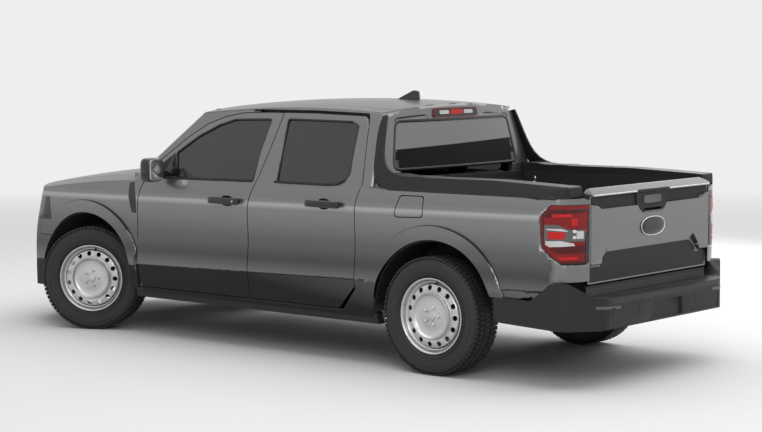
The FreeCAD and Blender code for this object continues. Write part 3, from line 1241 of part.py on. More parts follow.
def main():
    cabin = rounded_cabin()
    pockets = door_pockets()
    hood, fender, fascia, grille, lamps = front_pieces(cabin)
    save("hood", hood.fuse(pair(hood_ear().fuse(hood_pin()))))
    save("front_fenders", pair(fender))
    save("front_bumper", fascia)
    save("grille", grille)
    save("headlamps", lamps)

    cap_room = rail_cap(20, CAP_SEAT)
    upper = cab_upper(cabin_shell(cabin), pockets)
    upper = upper.cut(pair(cap_room))
    upper = upper.cut(box(-800, 800, Y_BED_FRONT - BED_WALL, 1200, 1000, RAIL_LOW))
    upper = upper.cut(bulkhead_cap())
    post_room = box(600, 1000, REAR_DOOR_REAR - 60, Y_BED_FRONT + 130, BELT_HEIGHT, BELT_HEIGHT + 107)
    pillar = upper.common(post_room)
    upper = upper.cut(pair(post_room))
    roof = largest(upper.common(roof_room()))
    groove = roof_room(SEAM).cut(roof_room())
    below = cabin_volume(0, 10, 0, 0)
    upper = upper.cut(roof_room()).cut(groove.cut(below))
    side, lamp = bed_side(pillar, pockets)
    side = largest(side.cut(cap_room).cut(gate_pin(SHAFT_PLAY)))
    lower = largest(cab_lower(pockets).cut(side).cut(fender))
    lower = lower.cut(hood_ear(SHUT_GAP)).cut(hood_pin(SHAFT_PLAY))
    save("fuel_door", fuel_door())
    save("cab_frame", largest(upper).fuse(lower).fuse(mirrored(lower)))
    save("roof", roof)
    filler = bed_skin(FUEL_POCKET).common(fuel_lid(SHUT_GAP))
    save("bed_sides", Part.makeCompound([side.cut(filler).cut(fuel_pin(SHAFT_PLAY)), mirrored(side)]))
    save("tail_lamps", pair(lamp))
    cap = rail_cap()
    save("rail_caps", Part.makeCompound([cap, mirrored(cap), bulkhead_cap()]))
    save("bed_liner", bed_liner().cut(pair(cap)).cut(bulkhead_cap()))
    save("rear_wall", rear_wall())
    save("engine_bay", firewall(cabin).fuse(inner_fenders()).cut(lower).cut(mirrored(lower)))
    save("cowl", cowl(cabin))
    save("floor_pan", floor_pan())
    shield, back = glazing()
    save("cab_glass", Part.makeCompound([shield, back]))
    save("high_brake_lamp", third_lamp(cabin))
    save("roof_fin", fin().cut(cabin))
    save("fender_vents", pair(vent_trim()))
    save("sill_cladding", pair(largest(sill_cladding().cut(fender))))
    save("arch_liners", liners())

    column = steering_column()
    save("dashboard", Part.makeCompound([dashboard().cut(column), column]))
    save("steering_wheel", steering_wheel())
    save("front_seats", Part.makeCompound([seat(370, Y_FRONT_AXLE + 1320), seat(-370, Y_FRONT_AXLE + 1320)]))
    save("rear_bench", rear_bench())

    bumper = rear_bumper()
    for hole in plate_holes():
        bumper = bumper.cut(hole)
    save("rear_bumper", bumper)
    save("frame_rails", cross_members().cut(fascia).cut(bumper))
    save("front_suspension", subframe().fuse(kingpin_arms()))
    save("engine", engine())
    save("rear_axle", rear_axle())
    save("fuel_tank", fuel_tank())
    save("exhaust", exhaust())
    save("spare_wheel", spare_wheel())

    save("tailgate", tailgate())
    save("tailgate_handle", tailgate_handle())
    save_doors()
    save_wheels()


def save_doors():
    stock = door_stock()
    front = front_door(stock, rear_door_nose(SHUT_GAP))
    rear = rear_door(stock, swing(FRONT_HINGE_Y, middle_edge, LOW_TO_TOP, SHUT_GAP))
    panes = {"front": door_glass(front_window()), "rear": door_glass(rear_window_outline())}
    doors = {"front": front, "rear": rear}
    for place in ("front", "rear"):
        trim = door_trim(place).cut(doors[place])
        if place == "front":
            shell, sail = mirror()
            sail = sail.cut(front).cut(panes["front"])
            trim = Part.makeCompound([trim, sail, shell.cut(sail).cut(front)])
        for kind, shape in (("door", doors[place]), ("glass", panes[place]), ("trim", trim)):
            save(kind + "_" + place + "_left", shape)
            save(kind + "_" + place + "_right", mirrored(shape))


main()
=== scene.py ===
# %% [markdown]
# A compact crew-cab pickup truck, seen from its left rear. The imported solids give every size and
# every joint. This file gives them their finishes, and adds the fine pieces that a solid model
# leaves out: tread, lenses, seals, cloth and hardware. Lengths are in metres, +X is the truck's
# left, +Y its rear and +Z is up.

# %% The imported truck
import json
import math
import bpy
import bmesh
from mathutils import Matrix, Vector
from mathutils.bvhtree import BVHTree


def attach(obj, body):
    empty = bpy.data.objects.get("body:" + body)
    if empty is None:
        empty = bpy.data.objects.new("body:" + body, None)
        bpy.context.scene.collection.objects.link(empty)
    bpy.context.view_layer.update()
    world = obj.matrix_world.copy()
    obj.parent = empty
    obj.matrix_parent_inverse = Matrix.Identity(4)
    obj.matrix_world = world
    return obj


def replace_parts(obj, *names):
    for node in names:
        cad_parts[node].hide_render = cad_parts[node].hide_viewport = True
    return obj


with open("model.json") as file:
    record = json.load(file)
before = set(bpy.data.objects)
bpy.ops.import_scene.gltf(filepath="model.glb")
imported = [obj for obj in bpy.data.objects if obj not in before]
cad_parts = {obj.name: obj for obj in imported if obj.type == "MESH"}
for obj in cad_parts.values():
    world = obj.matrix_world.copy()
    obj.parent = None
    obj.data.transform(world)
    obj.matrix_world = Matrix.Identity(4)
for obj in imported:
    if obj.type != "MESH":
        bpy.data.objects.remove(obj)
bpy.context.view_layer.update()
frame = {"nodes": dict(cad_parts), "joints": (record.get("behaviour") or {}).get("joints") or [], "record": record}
nodes = frame["nodes"]
joints = {joint["name"]: joint for joint in frame["joints"]}

# %% [markdown]
# The camera stands where the photograph was taken from. Its place and its direction were worked
# out from the wheels, the shut lines and the tailgate, so the two pictures lie over each other.

# %% Camera
PICTURE_WIDTH = 762
FOCAL_PIXELS = 1985.5
SENSOR = 36.0
CAMERA_PLACE = Vector((10.282, 8.748, 2.026))
CAMERA_TURN = math.radians(39.47)
CAMERA_DIP = math.radians(5.06)


def scene_object(name, data):
    thing = bpy.data.objects.new(name, data)
    bpy.context.scene.collection.objects.link(thing)
    return thing


camera = scene_object("camera", bpy.data.cameras.new("camera"))
camera.data.sensor_width = SENSOR
camera.data.lens = SENSOR * FOCAL_PIXELS / PICTURE_WIDTH
camera.location = CAMERA_PLACE
gaze = Vector((-math.cos(CAMERA_TURN) * math.cos(CAMERA_DIP), -math.sin(CAMERA_TURN) * math.cos(CAMERA_DIP),
               -math.sin(CAMERA_DIP)))
camera.rotation_euler = gaze.to_track_quat("-Z", "Y").to_euler()
camera.data.clip_end = 300
bpy.context.scene.camera = camera
bpy.context.scene.view_settings.view_transform = "Standard"
print("lens", round(camera.data.lens, 1), "mm")

# %% [markdown]
# A finish is a small tree of nodes. So that each one reads like a formula, one class stands for a
# material and makes its nodes, and a second one wraps a socket, so that + - * / on it add the
# Math nodes.

# %% Shader arithmetic
class Signal:
    """A value that varies over a surface. Arithmetic on it adds Math nodes."""

    def __init__(self, finish, socket):
        self.finish = finish
        self.socket = socket

    def sign(self, operation, first, second, clamped=False):
        settings = {"operation": operation, "use_clamp": clamped}
        return self.finish.node("ShaderNodeMath", settings, {0: first, 1: second})

    def __add__(self, other):
        return self.sign("ADD", self, other)

    def __sub__(self, other):
        return self.sign("SUBTRACT", self, other)

    def __rsub__(self, other):
        return self.sign("SUBTRACT", other, self)

    def __mul__(self, other):
        return self.sign("MULTIPLY", self, other)

    __radd__ = __add__
    __rmul__ = __mul__

    def clamped(self):
        return self.sign("ADD", self, 0.0, True)

    def above(self, level, softness):
        return self.sign("DIVIDE", self - level, softness, True)


class Finish:
    """One material of the truck, or the sky, with a short way to add any node to it."""

    def __init__(self, name, owner=None):
        self.material = owner or bpy.data.materials.new(name)
        self.material.use_nodes = True
        self.tree = self.material.node_tree
        self.tree.nodes.clear()

    def node(self, kind, settings=None, inputs=None, output=0):
        item = self.tree.nodes.new(kind)
        for key, value in (settings or {}).items():
            setattr(item, key, value)
        for key, value in (inputs or {}).items():
            if isinstance(value, Signal):
                self.tree.links.new(value.socket, item.inputs[key])
            else:
                item.inputs[key].default_value = value
        return Signal(self, item.outputs[output]) if len(item.outputs) else None

    def place(self):
        return self.node("ShaderNodeTexCoord", output=3)

    def axis(self, letter, place=None):
        inputs = {0: place or self.place()}
        return self.node("ShaderNodeSeparateXYZ", inputs=inputs, output="XYZ".index(letter))

    def noise(self, scale, detail=3.0):
        inputs = {"Vector": self.place(), "Scale": scale, "Detail": detail}
        return self.node("ShaderNodeTexNoise", inputs=inputs)

    def cells(self, scale, feature="F1"):
        inputs = {"Vector": self.place(), "Scale": scale}
        return self.node("ShaderNodeTexVoronoi", {"feature": feature}, inputs)

    def blend(self, first, second, amount):
        inputs = {0: amount, 6: first, 7: second}
        return self.node("ShaderNodeMix", {"data_type": "RGBA"}, inputs, output=2)

    def bump(self, height, depth, normal=None):
        inputs = {"Height": height, "Strength": 1.0, "Distance": depth}
        if normal:
            inputs["Normal"] = normal
        return self.node("ShaderNodeBump", inputs=inputs)

    def rounded(self, radius):
        return self.node("ShaderNodeBevel", {"samples": 4}, {"Radius": radius})

    def surface(self, **sockets):
        named = {key.replace("_", " ").title().replace("Ior", "IOR"): sockets[key] for key in sockets}
        shader = self.node("ShaderNodeBsdfPrincipled", inputs=named)
        self.node("ShaderNodeOutputMaterial", inputs={"Surface": shader})
        return self.material


def grey(level, tint=0.0):
    return (level, level * (1 + tint / 2), level * (1 + tint), 1.0)


print("finish class ready")

# %% [markdown]
# Dark metallic paint is metal flake under clear lacquer: a rough metal with a smooth coat. The flakes are tiny
# cells that shift the colour a little, and the lacquer has a faint ripple.

# %% Paint
# The base colour of this paint also carries painted light. On the flanks it is lighter towards the shoulder, with
# a painted highlight line there, painted shade above it and a painted highlight low down. Upward faces get painted
# shade, and downward faces are painted near black.
def truck_paint():
    f = Finish("truck_paint")
    flake = f.cells(1400.0)
    drift = f.noise(1.2, 2.0)
    facing = f.node("ShaderNodeTexCoord", output=1)
    lean = f.axis("Z", facing)
    sideways = f.axis("X", facing)
    flank = (sideways * sideways).above(0.70, 0.15)
    # Flank tone by height is painted light: a painted reflection that rises towards the shoulder, a painted
    # highlight low down at the crease, a painted highlight line at the shoulder and painted shade above it.
    level = f.axis("Z") - f.axis("Y") * 0.016
    painted_light_rise = level.above(0.635, 0.285)
    foot = 1.0 - level.above(0.530, 0.080)
    line = level.above(0.940, 0.030) * (1.0 - level.above(0.976, 0.014))
    painted_shade_above_shoulder = level.above(0.980, 0.040)
    on_flank = painted_light_rise * 0.36 + foot * 0.16 + line * 0.40 - painted_shade_above_shoulder * 0.10 + 0.068
    # Upward faces get a darker base colour and less metal and coat: painted shade on the tops.
    painted_shade_on_top = lean.above(0.45, 0.30)
    elsewhere = 0.34 - painted_shade_on_top * 0.24
    # Downward faces turn near black with little metal and coat: painted shade where they would mirror the dark
    # ground.
    under = 1.0 - lean.above(-0.175, 0.035)
    flake_and_painted_light = on_flank * flank + elsewhere * (1.0 - flank) + flake * 0.05 + drift * 0.03 - 0.04
    lit = f.blend(grey(0.002, 0.03), grey(0.500, 0.03), flake_and_painted_light.clamped())
    colour = f.blend(lit, grey(0.004, 0.03), under)
    normal = f.bump(f.noise(160.0, 1.0), 0.00004)
    return f.surface(base_color=colour, metallic=0.80 - under * 0.6 - painted_shade_on_top * 0.4,
                     roughness=flake * 0.05 + 0.33, coat_weight=1.0 - under * 0.95 - painted_shade_on_top * 0.8,
                     coat_roughness=0.05, specular_ior_level=0.3, normal=normal)


PAINT = truck_paint()
print("paint", len(PAINT.node_tree.nodes), "nodes")

# %% [markdown]
# The other finishes come in families. Moulded plastic has a fine leathery grain, steel has a
# slow mottle and a little dust, and rubber is dull with fine scuffs. Each family is one function
# with the few numbers that tell its members apart.

# %% Plastics and metals
PLASTIC_TINT = 0.02


def moulded(name, level, roughness, grain=1100.0, depth=0.0001):
    f = Finish(name)
    pebble = f.cells(grain, "SMOOTH_F1")
    haze = f.noise(3.0)
    colour = f.blend(grey(level * 0.8, PLASTIC_TINT), grey(level * 1.25, PLASTIC_TINT), haze)
    normal = f.bump(pebble, depth, f.rounded(0.002))
    return f.surface(base_color=colour, roughness=haze * 0.12 + roughness - 0.06,
                     specular_ior_level=0.25, normal=normal)


def glossy_plastic(name, colour, roughness=0.12, coat=0.6):
    f = Finish(name)
    smear = f.noise(14.0)
    shade = f.blend(tuple(c * 0.85 for c in colour[:3]) + (1.0,), colour, smear)
    return f.surface(base_color=shade, roughness=smear * 0.08 + roughness, coat_weight=coat,
                     coat_roughness=0.04, specular_ior_level=0.3, normal=f.rounded(0.0012))


def painted_steel(name, level, roughness, metallic=0.3, mottle=9.0):
    f = Finish(name)
    cloud = f.noise(mottle, 5.0)
    colour = f.blend(grey(level * 0.72), grey(level * 1.3), cloud)
    normal = f.bump(f.noise(420.0, 2.0), 0.0001, f.rounded(0.002))
    return f.surface(base_color=colour, metallic=metallic, roughness=cloud * 0.2 + roughness - 0.1,
                     specular_ior_level=0.3, normal=normal)


def brushed(name, level, roughness, mottle=30.0):
    f = Finish(name)
    streak = f.noise(mottle, 4.0)
    colour = f.blend(grey(level * 0.8), grey(level * 1.1), streak)
    return f.surface(base_color=colour, metallic=1.0, roughness=streak * 0.15 + roughness - 0.07,
                     normal=f.bump(streak, 0.0002, f.rounded(0.0015)))


BLACK_PLASTIC = moulded("grained_black_plastic", 0.016, 0.52)
BUMPER_PLASTIC = moulded("grained_bumper_plastic", 0.022, 0.50, 900.0)
CABIN_PLASTIC = moulded("cabin_plastic", 0.022, 0.58, 1500.0)
BED_PLASTIC = moulded("sprayed_bed_lining", 0.020, 0.72, 420.0, 0.0004)
GLOSS_BLACK = glossy_plastic("gloss_black_plastic", grey(0.008))
DARK_STEEL = painted_steel("underbody_steel", 0.028, 0.55)
SHEET_STEEL = painted_steel("primed_sheet", 0.09, 0.5)
CAST = painted_steel("cast_metal", 0.16, 0.6, 0.7, mottle=40.0)
SILENCER = brushed("silencer_steel", 0.35, 0.38)
BRIGHT = brushed("bright_metal_and_lip_highlight", 0.82, 0.12)
DISC_STEEL = brushed("brake_steel", 0.42, 0.35, 60.0)
print("families ready")

# %% Rubber, wheel enamel, glass and cloth
THREAD_PITCH = 0.0022


def rubber():
    f = Finish("tyre_rubber")
    scuff = f.noise(60.0, 5.0)
    colour = f.blend(grey(0.011), grey(0.026), scuff)
    normal = f.bump(f.noise(900.0, 2.0), 0.00012, f.rounded(0.0015))
    return f.surface(base_color=colour, roughness=scuff * 0.2 + 0.58, normal=normal)


def wheel_enamel():
    f = Finish("silver_wheel_enamel")
    flake = f.cells(2200.0)
    colour = f.blend(grey(0.46, 0.01), grey(0.62, 0.01), flake)
    return f.surface(base_color=colour, metallic=0.85, roughness=flake * 0.06 + 0.30, coat_weight=0.7,
                     coat_roughness=0.08, normal=f.rounded(0.002))


def tinted_glass(name, colour, alpha):
    f = Finish(name)
    film = f.noise(2.5, 2.0)
    return f.surface(base_color=colour, roughness=film * 0.02 + 0.01, alpha=film * 0.04 + alpha - 0.02,
                     specular_ior_level=0.7, coat_weight=0.4, coat_roughness=0.02)


def woven(name, level):
    f = Finish(name)
    threads = {"Vector": f.place(), "Scale": 1 / THREAD_PITCH / 3.1416, "Distortion": 0.4}
    across, along = [f.node("ShaderNodeTexWave", {"wave_type": "BANDS", "bands_direction": way}, threads)
                     for way in ("X", "DIAGONAL")]
    thread = across * 0.5 + along * 0.5
    fuzz = f.noise(180.0, 4.0)
    colour = f.blend(grey(level * 0.6, 0.1), grey(level * 1.4, 0.1), thread * 0.6 + fuzz * 0.4)
    return f.surface(base_color=colour, roughness=fuzz * 0.1 + 0.85, sheen_weight=0.35,
                     normal=f.bump(thread, 0.0006))


RUBBER = rubber()
ENAMEL = wheel_enamel()
SIDE_GLASS = tinted_glass("tinted_side_glass", grey(0.012, 0.05), 0.80)
# A near-black plate that paints the shade of the cabin behind the rear window.
DARK_SHADE = moulded("painted_cabin_shade", 0.002, 0.85)
# A pale plate that paints the rear window's reflection of the pale surroundings.
SHEEN = tinted_glass("painted_window_reflection", grey(0.20, 0.03), 0.90)
CLEAR_GLASS = tinted_glass("clear_cover", grey(0.040), 0.62)
SEAT_CLOTH = woven("seat_cloth", 0.045)
RED_LENS = glossy_plastic("red_lens", (0.24, 0.003, 0.005, 1.0), 0.06, 0.2)
LAMP_WHITE = glossy_plastic("white_lens", grey(0.62), 0.10, 1.0)
print("materials", len(bpy.data.materials))

# %% [markdown]
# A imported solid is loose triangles, one patch per face. Left so, each patch shades by itself and
# the joints between patches show as creases. A merged copy shades smoothly over gentle bends and
# stays crisp over sharp ones, and stands for the solid. The big panels follow formulas, so their
# corners take the exact normal of the formula and reflect as evenly as pressed steel.

# %% Panel formulas
def along_range(value, low, high):
    return max(0.0, min(1.0, (value - low) / (high - low)))


def side_half(y, z):
    """Half width of the flanks, in millimetres, with the crease low down and the shoulder above."""
    crease = 522 + 0.0235 * y
    shoulder = 983 + 0.016 * y
    if z <= crease:
        x = 850 + 49 * along_range(z, 268, crease) ** 0.9
    elif z <= shoulder:
        t = (z - crease) / (shoulder - crease)
        x = 903 - 15 * math.sin(math.pi * t) ** 2 - 6 * (1 - math.exp((crease - z) / 25.0)) * (1 - t)
    else:
        x = 903 - 35 * along_range(z, shoulder, 1115) ** 1.7
    ahead = max(0.0, -1520 - y) / 700
    behind = max(0.0, y - 1756) / 600
    return x - 28 * ahead ** 2 - 14 * behind ** 2


def cabin_half(y, z):
    rise = z - 1115
    return 867 - 0.33 * rise - 0.00013 * rise ** 2 - 10 * (y / 1000.0) ** 2 * along_range(rise, 0, 300)


def roof_height(x, y):
    return 1640 - 5.0e-5 * (y - 300) ** 2 - 1.0e-4 * x ** 2


def hood_height(x, y):
    s = (-1155 - y) / 1250
    return 1150 - 55 * s - 85 * s * abs(s) - 75 * (abs(x) / 880) ** 2.4


def slopes(surface, a, b):
    step = 0.5
    return ((surface(a + step, b) - surface(a - step, b)) / (2 * step),
            (surface(a, b + step) - surface(a, b - step)) / (2 * step))


def formula_normal(point, facing):
    """The exact normal of the panel that a point lies on, chosen by where its face looks."""
    x, y, z = point * 1000
    if abs(facing.x) > 0.8 and y < 2100:
        dy, dz = slopes(side_half if z < 1115 else cabin_half, y, z)
        return Vector((math.copysign(1, x), -dy, -dz)).normalized()
    if facing.z > 0.75 and z > 1500:
        dx, dy = slopes(roof_height, x, y)
        return Vector((-dx, -dy, 1)).normalized()
    if facing.z > 0.75 and y < -1150 and z > 900:
        dx, dy = slopes(hood_height, x, y)
        return Vector((-dx, -dy, 1)).normalized()
    return None


def panel_shading(mesh):
    """Formula normals for the panels, and no upright face that is shaded as if it leaned down."""
    normals = [Vector(corner.vector) for corner in mesh.corner_normals]
    for face in mesh.polygons:
        for loop in face.loop_indices:
            exact = formula_normal(mesh.vertices[mesh.loops[loop].vertex_index].co, face.normal)
            if exact:
                turn = math.degrees(exact.angle(face.normal))
                share = 1 - along_range(turn, 5, 13)
                normals[loop] = normals[loop].lerp(exact, share).normalized()
            if face.normal.z > -0.10 and normals[loop].z < -0.10:
                normals[loop].z = face.normal.z
                normals[loop].normalize()
    mesh.normals_split_custom_set(normals)


print("half width at the shoulder", side_half(0, 983), "mm")

# %% Smooth copies
FINISH_OF_SLOT = {
    "paint": PAINT, "black_plastic": BLACK_PLASTIC, "grey_plastic": BUMPER_PLASTIC,
    "gloss_black": GLOSS_BLACK, "tinted_glass": SIDE_GLASS, "lamp_red": RED_LENS,
    "lamp_clear": CLEAR_GLASS, "rubber": RUBBER, "wheel_steel": ENAMEL, "bed_plastic": BED_PLASTIC,
    "dark_steel": DARK_STEEL, "sheet_steel": SHEET_STEEL, "cast": CAST, "trim_fabric": SEAT_CLOTH,
    "cabin_plastic": CABIN_PLASTIC, "silencer_steel": SILENCER,
}
SLOT_OF_NODE = {part["node"]: part["material_slot"] for part in frame["record"]["subparts"]}
MEMBERS = frame["record"]["behaviour"]["bodies"]
BODY_OF_NODE = {node: body for body in MEMBERS for node in MEMBERS[body]}
SHARP_DEGREES = 28.0
MERGE_DISTANCE = 0.00002


def set_finish(piece, finish):
    piece.data.materials.clear()
    piece.data.materials.append(finish)


def shade(mesh, degrees):
    mesh.shade_smooth()
    mesh.set_sharp_from_angle(angle=math.radians(degrees))


def mesh_of(form, name):
    """The plain mesh that a bmesh holds, which is let go of."""
    mesh = bpy.data.meshes.new(name)
    form.to_mesh(mesh)
    form.free()
    return mesh


def settled(host):
    """The mesh of an object after its modifiers. The object goes away."""
    ready = host.evaluated_get(bpy.context.evaluated_depsgraph_get())
    mesh = bpy.data.meshes.new_from_object(ready)
    bpy.data.objects.remove(host)
    return mesh


def plain_mesh(mesh, modifiers):
    """The mesh after a few modifiers, each given as (kind, settings)."""
    host = scene_object("host", mesh)
    for kind, settings in modifiers:
        modifier = host.modifiers.new(kind.lower(), kind)
        for key, value in settings.items():
            setattr(modifier, key, value)
    bpy.context.view_layer.update()
    return settled(host)


def evened(mesh):
    """Smooth shading in which broad flat faces outweigh the narrow bevels beside them."""
    shade(mesh, SHARP_DEGREES)
    rule = {"mode": "FACE_AREA", "weight": 100, "keep_sharp": True}
    return plain_mesh(mesh, [("WEIGHTED_NORMAL", rule)])


def added(name, mesh, finish, body, slot, degrees=35.0):
    """Links a finished mesh as a piece of the truck that rides on one of its bodies."""
    if degrees:
        shade(mesh, degrees)
    piece = scene_object(name, mesh)
    set_finish(piece, finish)
    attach(piece, body)
    return piece


PANELS = [node for node in nodes if SLOT_OF_NODE[node] in ("paint", "tinted_glass")] + ["rail_caps", "roof"]


def smooth_copy(node):
    source = bmesh.new()
    source.from_mesh(nodes[node].data)
    bmesh.ops.remove_doubles(source, verts=source.verts, dist=MERGE_DISTANCE)
    slot = SLOT_OF_NODE[node]
    mesh = evened(mesh_of(source, node + "_skin"))
    if node in PANELS:
        panel_shading(mesh)
    piece = added(node + "_skin", mesh, FINISH_OF_SLOT[slot], BODY_OF_NODE[node], slot, None)
    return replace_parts(piece, node)


LEFT_TO_LATER = [node for node in nodes if node.startswith("tyre")] + ["front_seats", "rear_bench"]
for node in sorted(set(nodes) - set(LEFT_TO_LATER)):
    smooth_copy(node)
print("smooth copies", len(nodes) - len(LEFT_TO_LATER))

# %% [markdown]
# A tyre is a ring of one section: bead, sidewall with its rings, shoulder and a grooved crown. The
# section is spun round the axle, and a Geometry Nodes tree sets the tread blocks, all alike, round
# the crown.

# %% Spun rings
def ring_frame(axle, out):
    """A matrix whose X looks out along the axle and whose origin is the wheel's centre."""
    centre = Vector(axle["pos_m"])
    x = Vector(axle["axis"]).normalized() * out
    z = Vector((0, 0, 1))
    y = z.cross(x)
    turn = Matrix((x, y, z)).transposed().to_4x4()
    return Matrix.Translation(centre) @ turn


def spun(name, section, place, count=96):
    """A mesh made by turning (radius, offset) points about the X axis of a frame."""
    form = bmesh.new()
    rings = []
    for radius, offset in section:
        if radius < 1e-6:
            rings.append([form.verts.new(place @ Vector((offset, 0, 0)))])
            continue
        ring = []
        for i in range(count):
            angle = 2 * math.pi * i / count
            point = Vector((offset, radius * math.sin(angle), radius * math.cos(angle)))
            ring.append(form.verts.new(place @ point))
        rings.append(ring)
    for near, far in zip(rings, rings[1:] + rings[:1]):
        for i in range(count):
            j = (i + 1) % count
            corners = [near[i % len(near)], near[j % len(near)], far[j % len(far)], far[i % len(far)]]
            unique = [v for k, v in enumerate(corners) if v not in corners[:k]]
            if len(unique) > 2:
                form.faces.new(unique)
    bmesh.ops.recalc_face_normals(form, faces=form.faces)
    return mesh_of(form, name)


TYRE_R = 0.362
RIM_R = 0.233
BEAD_HALF = 0.0843
GROOVE = 0.008


def arc_points(r0, x0, r1, x1, bulge, count):
    points = []
    for i in range(count):
        t = i / (count - 1)
        swell = bulge * math.sin(math.pi * t)
        points.append((r0 + (r1 - r0) * t, x0 + (x1 - x0) * t + swell))
    return points


def tyre_section():
    """Half of the section from the middle of the tread to the bead, as (radius, offset)."""
    base = TYRE_R - GROOVE
    crown = [(base, 0.0), (base - 0.0005, 0.040), (base - 0.002, 0.070), (base - 0.006, 0.088)]
    shoulder = [(TYRE_R - 0.016, 0.0985), (TYRE_R - 0.026, 0.1055), (TYRE_R - 0.027, 0.1045)]
    wall = arc_points(TYRE_R - 0.036, 0.1085, RIM_R + 0.026, 0.1035, 0.0035, 9)
    guard = [(RIM_R + 0.024, 0.1085), (RIM_R + 0.018, 0.1075), (RIM_R + 0.014, 0.0985),
             (RIM_R + 0.006, 0.0905), (RIM_R - 0.0098, BEAD_HALF)]
    return crown + shoulder + wall + guard


def with_rings(section):
    """Adds the fine raised rings that run round the sidewall."""
    ringed = []
    for radius, offset in section:
        ringed.append((radius, offset))
        if abs(radius - 0.3085) < 0.006 or abs(radius - 0.2745) < 0.005:
            ringed.append((radius - 0.0008, offset + 0.0014))
            ringed.append((radius - 0.0032, offset + 0.0014))
            ringed.append((radius - 0.0040, offset))
    return ringed


def tyre_loop():
    outer = with_rings(tyre_section())
    inner = [(RIM_R - 0.0098, BEAD_HALF - 0.012), (RIM_R + 0.012, BEAD_HALF - 0.010), (TYRE_R - 0.075, 0.100),
             (TYRE_R - 0.030, 0.094), (TYRE_R - 0.018, 0.074)]
    half = outer + inner
    return half + [(r, -x) for r, x in half[::-1] if x > 0]


print("tyre section points", len(tyre_loop()))

# %% Tread tree
class Rule:
    """A Geometry Nodes tree that grows one plain mesh from its named inputs."""

    def __init__(self, name, counts, lengths, finish):
        self.tree = bpy.data.node_groups.new(name, "GeometryNodeTree")
        for group, kind in ((counts, "Int"), (lengths, "Float"), ((finish,), "Material")):
            for item in group:
                self.tree.interface.new_socket(item, in_out="INPUT", socket_type="NodeSocket" + kind)
        self.tree.interface.new_socket("Geometry", in_out="OUTPUT", socket_type="NodeSocketGeometry")
        self.given = self.tree.nodes.new("NodeGroupInput").outputs
        self.finish = self.given[finish]

    def add(self, kind, links, **settings):
        item = self.tree.nodes.new(kind)
        for key, value in settings.items():
            setattr(item, key, value)
        for key, value in links.items():
            if isinstance(value, bpy.types.NodeSocket):
                self.tree.links.new(value, item.inputs[key])
            else:
                item.inputs[key].default_value = value
        return item.outputs[0] if len(item.outputs) == 1 else item.outputs

    def maths(self, operation, a, b=0.0):
        return self.add("ShaderNodeMath", {0: a, 1: b}, operation=operation)

    def closed(self, copies):
        real = self.add("GeometryNodeRealizeInstances", {"Geometry": copies})
        dressed = self.add("GeometryNodeSetMaterial", {"Geometry": real, "Material": self.finish})
        self.tree.links.new(dressed, self.tree.nodes.new("NodeGroupOutput").inputs[0])
        return self.tree


def tread_tree():
    """One row of tread blocks round the X axis."""
    lengths = ("Tread radius", "Row offset", "Row width", "Block length", "Block height", "Slant",
               "Phase", "Tilt")
    rule = Rule("tread_row", ("Blocks",), lengths, "Rubber")
    add, maths, given = rule.add, rule.maths, rule.given
    line = add("GeometryNodeMeshLine", {"Count": given["Blocks"]})
    index = add("GeometryNodeInputIndex", {})
    share = maths("DIVIDE", index, given["Blocks"])
    angle = maths("ADD", maths("MULTIPLY", share, 2 * math.pi), given["Phase"])
    middle = maths("SUBTRACT", given["Tread radius"], maths("MULTIPLY", given["Block height"], 0.5))
    along, up = [maths("MULTIPLY", maths(wave, angle), middle) for wave in ("SINE", "COSINE")]
    spot = add("ShaderNodeCombineXYZ", {0: given["Row offset"], 1: along, 2: up})
    spots = add("GeometryNodeSetPosition", {"Geometry": line, "Position": spot})
    sides = {0: given["Row width"], 1: given["Block length"], 2: given["Block height"]}
    size = add("ShaderNodeCombineXYZ", sides)
    cube = add("GeometryNodeMeshCube", {"Size": size, "Vertices X": 2, "Vertices Y": 3, "Vertices Z": 2})[0]
    turn = add("ShaderNodeCombineXYZ", {0: maths("MULTIPLY", angle, -1.0)})
    lean = add("ShaderNodeCombineXYZ", {1: given["Tilt"], 2: given["Slant"]})
    leaned = add("GeometryNodeTransform", {"Geometry": cube, "Rotation": lean})
    copies = {"Points": spots, "Instance": leaned, "Rotation": turn}
    return rule.closed(add("GeometryNodeInstanceOnPoints", copies))


TREAD = tread_tree()


def grown(tree, values):
    """The plain mesh that a Geometry Nodes tree makes with these values for its named inputs."""
    host = scene_object("host", bpy.data.meshes.new("host"))
    modifier = host.modifiers.new("rule", "NODES")
    modifier.node_group = tree
    sockets = {item.name: item.identifier for item in tree.interface.items_tree
               if item.in_out == "INPUT"}
    for name, value in values.items():
        modifier[sockets[name]] = value
    bpy.context.view_layer.update()
    return settled(host)


print("tread tree nodes", len(TREAD.nodes))

# %% Tyres
TREAD_ROWS = [
    (-0.0900, 0.026, 0.0235, 0.10, 0.5, 0.24), (-0.0520, 0.036, 0.0250, 0.25, 0.0, 0.0),
    (0.0000, 0.046, 0.0270, -0.25, 0.5, 0.0), (0.0520, 0.036, 0.0250, 0.25, 0.0, 0.0),
    (0.0900, 0.026, 0.0235, 0.10, 0.5, -0.24),
]
TREAD_BLOCKS = 74


def joined(name, meshes):
    form = bmesh.new()
    for mesh in meshes:
        form.from_mesh(mesh)
    return mesh_of(form, name)


